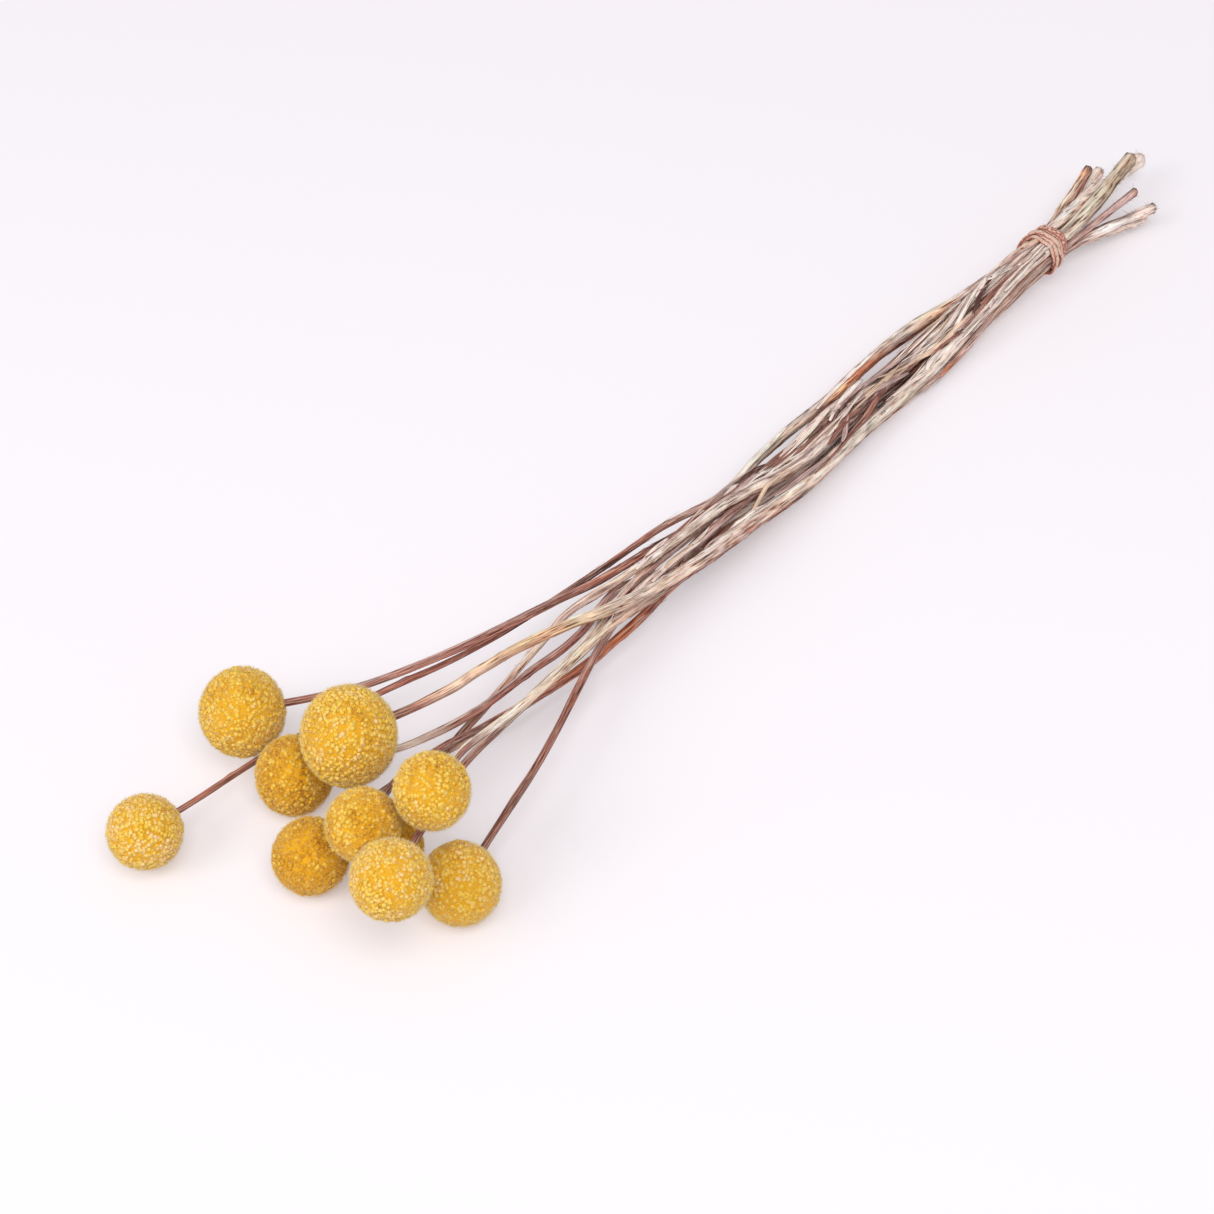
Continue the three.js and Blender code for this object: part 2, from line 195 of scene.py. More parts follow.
# %% [markdown]
# ## Table and light
# A plain pale table and a pale studio all round give the high, even light of a flower catalogue. One hard
# lamp would be simpler, but its shadows would hide the lower stems. So two wide, soft lamps from the left
# and the front give the shadows a direction, and the table glows a little, as a sheet of opal glass over a
# light box does, which keeps the shadows thin. The table is a flat sheet, far larger than the bunch.

# %% Table
TABLE_SIZE = 12.0  # metres
TABLE_TONE = srgb(210, 206, 210)
TABLE_GLOW = 0.3
STUDIO_TONE = srgb(255, 252, 255)

half = TABLE_SIZE / 2
table_mesh = bpy.data.meshes.new("table")
corners = [(-half, -half, 0), (half, -half, 0), (half, half, 0), (-half, half, 0)]
table_mesh.from_pydata(corners, [], [(0, 1, 2, 3)])
table = bpy.data.objects.new("table", table_mesh)
table_finish, _, table_shader = new_finish("table_top", 0.9)
table_shader.inputs["Base Color"].default_value = TABLE_TONE
table_shader.inputs["Emission Color"].default_value = STUDIO_TONE
table_shader.inputs["Emission Strength"].default_value = TABLE_GLOW
table_mesh.materials.append(table_finish)
bpy.context.collection.objects.link(table)
print("the table is", TABLE_SIZE, "m wide")

# %% Light
STUDIO_LIGHT = 0.48
LAMPS = {  # place and width in metres, and power in watts
    "key_lamp": (Vector((-2.3, 0.6, 1.9)), 1.5, 28.0),
    "fill_lamp": (Vector((-0.9, -1.0, 2.2)), 1.6, 34.0),
}

studio = bpy.data.worlds.new("studio")
studio.use_nodes = True
studio.node_tree.nodes["Background"].inputs["Color"].default_value = STUDIO_TONE
studio.node_tree.nodes["Background"].inputs["Strength"].default_value = STUDIO_LIGHT
bpy.context.scene.world = studio

for name, (place, size, power) in LAMPS.items():
    lamp_data = bpy.data.lights.new(name, "AREA")
    lamp_data.energy = power
    lamp_data.size = size
    lamp = bpy.data.objects.new(name, lamp_data)
    lamp.location = place
    lamp.rotation_euler = (-place).to_track_quat("-Z", "Y").to_euler()
    bpy.context.collection.objects.link(lamp)
    print(name, "stands", round(place.length, 2), "m from the bunch")

# %% [markdown]
# ## Shapes as arrays
# The bunch has many thousands of small parts. Adding each as an object of its own would take Blender
# minutes. A shape here is a dictionary of arrays instead: its points, its triangles, and a value or a
# colour at each point. Small shapes are stamped out all at once, joined, and turned into one mesh at the
# end. Points that would dip into the table are lifted to just above it, so the balls that rest on it are
# flat there.

# %% Shapes as arrays
TABLE_CLEARANCE = 0.02


def join_shapes(shapes):
    """Puts several shapes into one."""
    starts = np.cumsum([0] + [len(shape["points"]) for shape in shapes])
    joined = {key: np.concatenate([shape[key] for shape in shapes]) for key in shapes[0]}
    joined["triangles"] = np.concatenate([s["triangles"] + start for s, start in zip(shapes, starts)])
    return joined


def make_piece(name, shape, material, slot, *nodes):
    """Makes a mesh from a shape, with its values as attributes, and lets it stand for any CAD nodes named."""
    mesh = bpy.data.meshes.new(name)
    shape["points"][:, 2] = np.maximum(shape["points"][:, 2], TABLE_CLEARANCE)
    mesh.from_pydata(shape["points"] * MM, [], shape["triangles"], shade_flat=False)
    for key, values in shape.items():
        if key in ("points", "triangles"):
            continue
        kind, held = ("FLOAT", "value") if values.ndim == 1 else ("FLOAT_VECTOR", "vector")
        mesh.attributes.new(key, kind, "POINT").data.foreach_set(held, values.astype(np.float32).ravel())
    mesh.materials.append(material)
    piece = bpy.data.objects.new(name, mesh)
    bpy.context.collection.objects.link(piece)
    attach(piece, "root")
    if nodes:
        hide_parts(*nodes)
    print(name, "has", len(mesh.polygons), "triangles")


def cad_points(node):
    """The corners of a CAD node in millimetres, each one once."""
    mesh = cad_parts[node].data
    flat = np.empty(len(mesh.vertices) * 3, np.float32)
    mesh.vertices.foreach_get("co", flat)
    return np.unique(np.round(flat.reshape(-1, 3).astype(float) / MM, 3), axis=0)


print("head_01 has", len(cad_points("head_01")), "corners")

# %% [markdown]
# ## Directions, tubes and grain
# Stems, strands and the band are all tubes: rings of points, with two triangles for each cell of the net
# between two rings. A tube's grain is the place of each point round it and along it. Round it, one angle
# would jump at the seam where 360 degrees meets 0, so the grain holds the sine and the cosine instead.


# %% Directions, tubes and grain
def unit(vectors):
    """The same directions, one long."""
    return vectors / np.linalg.norm(vectors, axis=-1, keepdims=True)


def across(directions):
    """Two directions square to each given one and to each other."""
    first = unit(np.cross(directions, np.where(np.abs(directions[:, 2:]) < 0.9, UP, (1.0, 0.0, 0.0))))
    return first, np.cross(directions, first)


def tube_faces(rings, sides, looped=False):
    """The triangles of a tube, whose ends meet when it is looped and are closed with a fan when it isn't."""
    low = np.arange(rings if looped else rings - 1)[:, None] * sides
    high = (low + sides) % (rings * sides)
    here = np.arange(sides)
    after = (here + 1) % sides
    one = np.stack((low + here, low + after, high + after), axis=-1)
    other = np.stack((low + here, high + after, high + here), axis=-1)
    faces = np.concatenate((one, other), axis=1).reshape(-1, 3)
    if looped:
        return faces
    fan = np.array([(0, corner + 1, corner) for corner in range(1, sides - 1)])
    last = (rings - 1) * sides
    return np.concatenate((faces, fan, last + fan[:, (0, 2, 1)]))


def tube_grain(turn, length):
    """The grain of every point of a tube, from the turns of one ring and the length to each ring."""
    return np.stack(np.broadcast_arrays(np.cos(turn), np.sin(turn), length[:, None]), axis=-1)


print("a tube of 3 rings with 6 sides has", len(tube_faces(3, 6)), "triangles")

# %% [markdown]
# ## Random hills
# Nothing that has grown is quite even. Blender's noise textures only act while the scene is rendered, but
# these shapes need bumps in their points. So a small function mixes up whole numbers into a height for each
# corner of a grid, and glides from corner to corner. It gives the same hills every time.

# %% Random hills
HASH_STEPS = np.array((73856093, 19349663, 83492791))
SEED_STEP = 7919
HASH_FACTOR = 1274126177
HASH_LIMIT = 0x7FFFFFFF
LEVELS = 65536


def ripple(points, seed):
    """Smooth random hills between -1 and 1, about one unit across, at each point."""
    corner = np.floor(points).astype(np.int64)
    part = points - corner
    part = part * part * (3 - 2 * part)
    total = 0.0
    for step in itertools.product((0, 1), repeat=3):
        mixed = ((corner + step) * HASH_STEPS).sum(axis=-1) + seed * SEED_STEP
        mixed = (mixed ^ (mixed >> 13)) * HASH_FACTOR & HASH_LIMIT
        height = (mixed ^ (mixed >> 16)) % LEVELS / (LEVELS / 2) - 1
        total = total + height * np.where(step, part, 1 - part).prod(axis=-1)
    return total


def streaks(grain, around, along, seed):
    """Random hills drawn out along a tube, with so many to a unit round it and along it."""
    return ripple(grain * np.array((around, around, along)), seed)


print("the hills at 0, 0.5 and 1 are", ripple(np.outer((0, 0.5, 1), (1, 1, 1)), 1).round(2))

# %% [markdown]
# ## The finish of a flower head
# A dried floret is deep orange-yellow inside and bleached to peach at the tips of its lobes. Florets stand
# in small groups, and the top of each group is bleached most, so a ball looks dappled: pale spots on deep
# yellow. Noise alone would put the pale spots anywhere. So each point carries `tip`, how near it is to a
# lobe's tip, `crown`, how near its floret is to the middle of its group, and `shade`, the floret's age. A
# shade above 1 marks a bristle, which is palest. A soft sheen stands for the fine down that pales the
# ball's edge.

# %% The finish of a flower head
HEAD_DARK = srgb(172, 102, 2)
HEAD_AMBER = srgb(222, 160, 0)
HEAD_DEEP = srgb(232, 174, 0)
HEAD_GOLD = srgb(246, 198, 0)
HEAD_PALE = srgb(250, 214, 96)
HEAD_FADED = srgb(254, 220, 166)
HEAD_DOWN = srgb(255, 204, 70)
HEAD_BRISTLE = srgb(255, 238, 190)
DUST_SCALE = 1500.0  # noise hills to a metre
CLUMP_SCALE = 800.0

head_finish, tone, shader = new_finish("dried_florets", 0.85)
tip, crown, shade = (tone.carried(name) for name in ("tip", "crown", "shade"))
place = tone.node("ShaderNodeTexCoord", {}, {}, "Object")
spots = (place.noise(DUST_SCALE, 2.0) - 0.5) * 0.5 + (place.noise(CLUMP_SCALE, 2.0) - 0.5) * 1.6
relief = crown * 0.7 + tip * 0.3
young = relief.rise(0.1, 0.8).mix(HEAD_DARK, HEAD_AMBER)
body = shade.rise(0.0, 0.5).mix(young, relief.rise(0.05, 0.55).mix(HEAD_DEEP, HEAD_GOLD))
bleach = (relief * 1.25 + spots + (shade - 0.5) * 1.1).rise(0.3, 1.2)
worn = shade.rise(0.55, 1.05) * 0.8
florets = worn.mix(bleach.mix(body, HEAD_PALE), bleach.mix(body, HEAD_FADED))
link_finish(shade.rise(1.0, 1.2).mix(florets, HEAD_BRISTLE), shader, "Base Color")
shader.inputs["Sheen Weight"].default_value = 1.0
shader.inputs["Sheen Roughness"].default_value = 0.4
shader.inputs["Sheen Tint"].default_value = HEAD_DOWN
print("dried_florets has", len(head_finish.node_tree.nodes), "nodes")

# %% [markdown]
# ## One floret
# A billy button's floret is a short tube that opens in five pointed lobes. A bump on a smooth ball would
# show the lobes from the front, but not at the ball's edge, so each floret is a small closed shape of its
# own. Sixteen points are enough at this size: ten round the star, five at the foot, which is sunk in the
# ball, and one in the eye. Coordinates are in floret radii, with z pointing out of the ball.

# %% One floret
LOBES = 5
FLORET_FOOT = 0.45
FLORET_NOTCH = 0.68
FLORET_DEPTH = 1.4
NOTCH_DROP = 0.3
EYE_RISE = -0.1
NOTCH_TIP = 0.7  # what `tip` is in the notches and at the foot, where a lobe's tip has 1
EYE_TIP = 0.5

star = 2 * LOBES
rim_turn = np.arange(star) * math.pi / LOBES
is_lobe = np.arange(star) % 2 == 0
rim_reach = np.where(is_lobe, 1.0, FLORET_NOTCH)
rim_drop = (is_lobe - 1) * NOTCH_DROP
rim = np.column_stack((rim_reach * np.cos(rim_turn), rim_reach * np.sin(rim_turn), rim_drop))
foot_turn = rim_turn[::2]
foot = np.column_stack((np.cos(foot_turn), np.sin(foot_turn), np.zeros(LOBES))) * FLORET_FOOT
foot[:, 2] = -FLORET_DEPTH
FLORET_POINTS = np.vstack((rim, foot, (0, 0, EYE_RISE)))
FLORET_TIP = np.concatenate((np.where(is_lobe, 1.0, NOTCH_TIP), np.full(LOBES, NOTCH_TIP), [EYE_TIP]))

eye = star + LOBES
floret_faces = [(eye, corner, (corner + 1) % star) for corner in range(star)]
for lobe in range(LOBES):
    here, after = star + lobe, star + (lobe + 1) % LOBES
    notch, next_tip = 2 * lobe + 1, (2 * lobe + 2) % star
    floret_faces += [(here, notch, 2 * lobe), (here, after, notch), (after, next_tip, notch)]
floret_faces += [(star, star + corner + 1, star + corner) for corner in range(1, LOBES - 1)]
FLORET_FACES = np.array(floret_faces)
print("a floret has", len(FLORET_FACES), "triangles")

# %% [markdown]
# ## Fibres
# Bristles on the heads, wool and hairs on the stems and slivers of peeling bark are all the same thing at
# different sizes: a thin spike that may bend away from what it grows on. Blender's hair strands would be
# quicker to add, but they aren't meshes. So one function makes any number of closed spikes of three sides.

# %% Fibres
SPIKE_TAPER = 0.7
SPIKE_CORNERS = (math.pi / 2, math.pi * 7 / 6, math.pi * 11 / 6)


def fibre_shape(root, along, out, length, width, lift, rings, flatness=1.0):
    """Closed three-sided spikes from each root, bending out by lift times their length."""
    count = len(root)
    length, width, lift = (np.broadcast_to(value, count)[:, None] for value in (length, width, lift))
    side = unit(np.cross(along, out))
    layers = []
    for ring in range(rings):
        share = ring / rings
        middle = root + (along * share + out * lift * share**2) * length
        reach = width / 2 * (1 - share) ** SPIKE_TAPER
        for turn in SPIKE_CORNERS:
            layers.append(middle + side * reach * math.cos(turn) + out * reach * flatness * math.sin(turn))
    layers.append(root + (along + out * lift) * length)
    each = len(layers)
    tip = each - 1
    faces = [(0, 2, 1), (tip - 3, tip - 2, tip), (tip - 2, tip - 1, tip), (tip - 1, tip - 3, tip)]
    for low in range(0, tip - 3, 3):
        for here, after in ((0, 1), (1, 2), (2, 0)):
            faces.append((low + here, low + after, low + 3 + after))
            faces.append((low + here, low + 3 + after, low + 3 + here))
    numbers = np.array(faces)[None] + (np.arange(count) * each)[:, None, None]
    points = np.stack(layers, axis=1).reshape(-1, 3)
    return {"points": points, "triangles": numbers.reshape(-1, 3)}


spike = fibre_shape(np.zeros((1, 3)), UP[None], np.eye(3)[:1], 1, 1, 0, 1)
print("a spike of one ring has", len(spike["triangles"]), "triangles")

# %% [markdown]
# ## Florets on a ball
# Seeds and florets sit on a ball in the golden spiral that sunflowers are known for: each one turns on by
# the golden angle from the last. Rows and columns, as on a globe, would crowd at the poles. This way a
# thousand to two thousand florets cover a ball with no holes and no rows that the eye can follow. The ball
# swells a little here and there, and small groups of florets stand up in domes, as on the real flower.

# %% Florets on a ball
HEADS = [f"head_{number:02d}" for number in range(1, 11)]
GOLDEN_ANGLE = math.pi * (3 - math.sqrt(5))
FLORET_DISORDER = 0.75
SEEDS = 10000


def head_ball(node):
    """The middle and the radius in millimetres of a CAD head, whose underside may be pressed flat."""
    low, high = (np.array(corner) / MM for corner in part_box(node))
    radius = (high[0] - low[0]) / 2
    return np.array(((low[0] + high[0]) / 2, (low[1] + high[1]) / 2, high[2] - radius)), radius


def spiral(count, random):
    """Directions spread evenly over a ball, with a little disorder."""
    height = 1 - 2 * (np.arange(count) + 0.5) / count
    turn = np.arange(count) * GOLDEN_ANGLE
    flat = np.sqrt(1 - height**2)
    even = np.column_stack((flat * np.cos(turn), flat * np.sin(turn), height))
    return unit(even + random.normal(0, FLORET_DISORDER / math.sqrt(count), even.shape))


def ball_count(radius, spacing):
    """How many points cover a ball at this spacing."""
    return int(4 * math.pi * radius**2 / (math.sqrt(3) / 2 * spacing**2))


print("head_01 is", round(2 * head_ball("head_01")[1], 1), "mm across")

# %% The coat of florets
FLORET_RADIUS = 0.82
FLORET_SIZES = (0.82, 1.15)  # the smallest and the largest share of that radius
FLORET_UNEVEN = 0.1
FLORET_TILT = 0.2
TIP_REACH = 0.32
HEAD_SWELL = 0.03
SWELL_HILLS = 2.2
DOME_SPACING = 2.3
DOME_REACH = 0.62
DOME_HEIGHT = 0.9
DOME_LEVEL = 0.8
DOME_AGE = 0.16
PATCH_AGE = 0.2
PATCH_HILLS = 2.4
FLORET_AGE = 0.08
YOUNGEST = -0.5


def floret_coat(middle, radius, out, age, random):
    """Florets that stand out of the ball in low domes, each with its own size, tilt, turn and age."""
    domes = spiral(ball_count(radius, DOME_SPACING), random)
    seed = int(random.integers(1, SEEDS))
    nearest = out @ domes.T
    apart = radius * np.sqrt(np.maximum(2 - 2 * nearest.max(axis=1), 0))
    crown = np.clip(1 - (apart / DOME_SPACING / DOME_REACH) ** 2, 0, 1)
    height = radius * (1 - TIP_REACH / radius + HEAD_SWELL * ripple(out * SWELL_HILLS, seed))
    height += DOME_HEIGHT * (crown - DOME_LEVEL)
    height += random.normal(0, FLORET_UNEVEN, len(out))
    size = FLORET_RADIUS * random.uniform(*FLORET_SIZES, len(out))
    axis = unit(out + random.normal(0, FLORET_TILT, out.shape))
    side, other = across(axis)
    spin = random.uniform(0, FULL_TURN, len(out))[:, None]
    first = side * np.cos(spin) + other * np.sin(spin)
    frames = np.stack((first, np.cross(axis, first), axis), axis=1) * size[:, None, None]
    places = middle + out * height[:, None]
    points = places[:, None] + np.einsum("pk,nkc->npc", FLORET_POINTS, frames)
    numbers = FLORET_FACES[None] + (np.arange(len(out)) * len(FLORET_POINTS))[:, None, None]
    ages = age + random.normal(0, DOME_AGE, len(domes))[nearest.argmax(axis=1)]
    ages = ages + PATCH_AGE * ripple(out * PATCH_HILLS, seed + 2) + random.normal(0, FLORET_AGE, len(out))
    return {
        "points": points.reshape(-1, 3),
        "triangles": numbers.reshape(-1, 3),
        "tip": np.tile(FLORET_TIP, len(out)),
        "crown": np.repeat(crown, len(FLORET_POINTS)),
        "shade": np.repeat(np.clip(ages, YOUNGEST, 1), len(FLORET_POINTS)),
    }


print("a ball 25 mm across has", ball_count(12.5, DOME_SPACING), "domes")

# %% [markdown]
# ## A whole head
# Between the florets one sees darker ground, and short bristles stand between them and blur the ball's
# edge. The ground is a plain ball under the florets, which also closes every gap. No floret grows where the
# stem comes in. Real heads aren't quite round: most of these are a little longer one way, so the finished
# ball is stretched.

# %% A whole head
FLORET_SPACING = 1.22
CORE_DEPTH = 0.7
CORE_FINENESS = 3
CORE_LOOK = {"tip": 0.2, "crown": 0.1, "shade": 0.4}
STEM_CLEARANCE = 0.5
BRISTLES_TO_FLORET = 5
BRISTLE_SPREAD = 0.5
BRISTLE_ROOT = 0.6
BRISTLE_LEAN = 0.22
BRISTLE_LENGTH = (0.65, 1.35)
BRISTLE_WIDTH = 0.11
BRISTLE_TIP = (0.8, 0.8, 0.8, 1.0)
BRISTLE_SHADE = (0.8, 1.5)
STRETCH_WAY = np.array((0.54, 0.45, 0.71))  # up and away from the camera


def core_shape(middle, radius):
    """The plain inner ball that the florets stand on."""
    bpy.ops.mesh.primitive_ico_sphere_add(subdivisions=CORE_FINENESS, radius=1.0)
    ball = bpy.context.object
    points = np.array([v.co for v in ball.data.vertices])
    faces = np.array([p.vertices for p in ball.data.polygons])
    bpy.data.objects.remove(ball)
    looks = {key: np.full(len(points), value) for key, value in CORE_LOOK.items()}
    return {"points": middle + points * radius, "triangles": faces, **looks}


def bristle_coat(middle, radius, out, age, random):
    """Short bristles all round every floret."""
    coat = np.repeat(out, BRISTLES_TO_FLORET, axis=0)
    coat = unit(coat + random.normal(0, BRISTLE_SPREAD / radius, coat.shape))
    bristles = fibre_shape(
        root=middle + coat * (radius - BRISTLE_ROOT),
        along=unit(coat + random.normal(0, BRISTLE_LEAN, coat.shape)),
        out=across(coat)[0],
        length=random.uniform(*BRISTLE_LENGTH, len(coat)),
        width=BRISTLE_WIDTH,
        lift=0.0,
        rings=1,
    )
    shade = age * 0.5 + random.uniform(*BRISTLE_SHADE, len(coat))
    bristles["tip"] = np.tile(BRISTLE_TIP, len(coat))
    bristles["crown"] = np.ones(len(bristles["points"]))
    bristles["shade"] = np.repeat(shade, len(BRISTLE_TIP))
    return bristles


def head_shape(node, stem_root, stem_radius, age, stretch, random):
    """A ball of florets and bristles, open where its stem comes in."""
    middle, radius = head_ball(node)
    out = spiral(ball_count(radius, FLORET_SPACING), random)
    stem_way = unit(stem_root - middle)
    beside = np.linalg.norm(np.cross(out, stem_way), axis=1) * radius > stem_radius + STEM_CLEARANCE
    out = out[beside | (out @ stem_way < 0)]
    florets = floret_coat(middle, radius, out, age, random)
    bristles = bristle_coat(middle, radius, out, age, random)
    shape = join_shapes((core_shape(middle, radius - CORE_DEPTH), florets, bristles))
    tall = (shape["points"] - middle) @ STRETCH_WAY
    shape["points"] += STRETCH_WAY * (tall * (stretch - 1))[:, None]
    return shape


print("a ball 25 mm across has", ball_count(12.5, FLORET_SPACING), "florets")

# %% [markdown]
# ## The line of a stem
# Each CAD stem is a tube of eight sides with a ring of corners every dozen millimetres, too coarse to look
# like a plant close up. Drawing new stems could leave the old ones' places. So the middles of those rings,
# smoothed by a curve that passes through every one of them, give the finer stem the same line, and the
# distances of the corners from the middles give it the same thickness, knots included.

# %% The line of a stem
RING_GAP = 3.0
FINE_STEPS = 9
STEMS = [f"stem_{number:02d}" for number in range(1, 11)]


def stem_rings(node):
    """The middle and radius in millimetres of each ring of corners along a CAD stem, head end first."""
    points = cad_points(node)
    rings = np.split(points, np.flatnonzero(np.diff(points[:, 0]) > RING_GAP) + 1)
    middles = [ring.mean(axis=0) for ring in rings]
    radii = [np.median(np.linalg.norm(ring - middle, axis=1)) for ring, middle in zip(rings, middles)]
    return np.column_stack((middles, radii))


def smooth_line(knots):
    """A smooth curve through the knots, with FINE_STEPS points from each to the next."""
    padded = np.vstack((2 * knots[0] - knots[1], knots, 2 * knots[-1] - knots[-2]))
    share = (np.arange(FINE_STEPS) / FINE_STEPS)[:, None]
    curve = []
    for a, b, c, d in zip(padded, padded[1:], padded[2:], padded[3:]):
        bends = (2 * a - 5 * b + 4 * c - d) * share**2 + (3 * b - a - 3 * c + d) * share**3
        curve.append((2 * b + (c - a) * share + bends) / 2)
    return np.vstack((*curve, knots[-1:]))


def stem_frame(middles):
    """Along, the far side and the top at each point of a stem's line, and the length to it."""
    along = unit(np.gradient(middles, axis=0))
    far = unit(np.cross(UP, along))
    length = np.concatenate(([0], np.cumsum(np.linalg.norm(np.diff(middles, axis=0), axis=1))))
    return along, far, np.cross(along, far), length


def line_at(line, x):
    """The y, the z and the radius of a stem's line where it passes each x."""
    return [np.interp(x, line[:, 0], line[:, column]) for column in (1, 2, 3)]


stem_lines = {node: smooth_line(stem_rings(node)) for node in STEMS}
print("stem_01 has", len(stem_lines["stem_01"]), "fine rings")

# %% [markdown]
# ## Colours of the stems
# Fresh stems are green. Dried ones turn red-brown where they are smooth, and stay grey or cream where they
# are woolly. Every stem changes along its length, and many differ between their far side and their near
# side. A noise texture could mix the same tones, but it can't put each one where it belongs.
# So each stem has a short list of stations: a place along the bunch in millimetres, the tone of its far
# side, the tone of its near side, and how woolly it is there. Between two stations everything changes
# evenly. The lists are plain text, because rows of words are easier to read and change than rows of
# brackets and quotes.

# %% Tones
TONES = {
    "dark": srgb(92, 50, 42),
    "brown": srgb(146, 92, 78),
    "red": srgb(168, 104, 88),
    "rust": srgb(200, 116, 74),
    "orange": srgb(234, 172, 122),
    "mauve": srgb(196, 164, 158),
    "tan": srgb(226, 194, 168),
    "gold": srgb(226, 196, 158),
    "cream": srgb(250, 234, 218),
    "pink": srgb(248, 226, 216),
    "wool": srgb(254, 238, 226),
    "grey": srgb(216, 200, 190),
    "green": srgb(214, 204, 182),
    "olive": srgb(160, 138, 110),
}


def tone_of(name):
    """The red, green and blue of a tone."""
    return np.array(TONES[name][:3])


def blend(colour, other, share):
    """Colours drawn towards another colour, with the share of the way for each of them."""
    return colour * (1 - share[:, None]) + other * share[:, None]


print("halfway from dark to wool is", blend(tone_of("dark"), tone_of("wool"), np.array([0.5])).round(2))

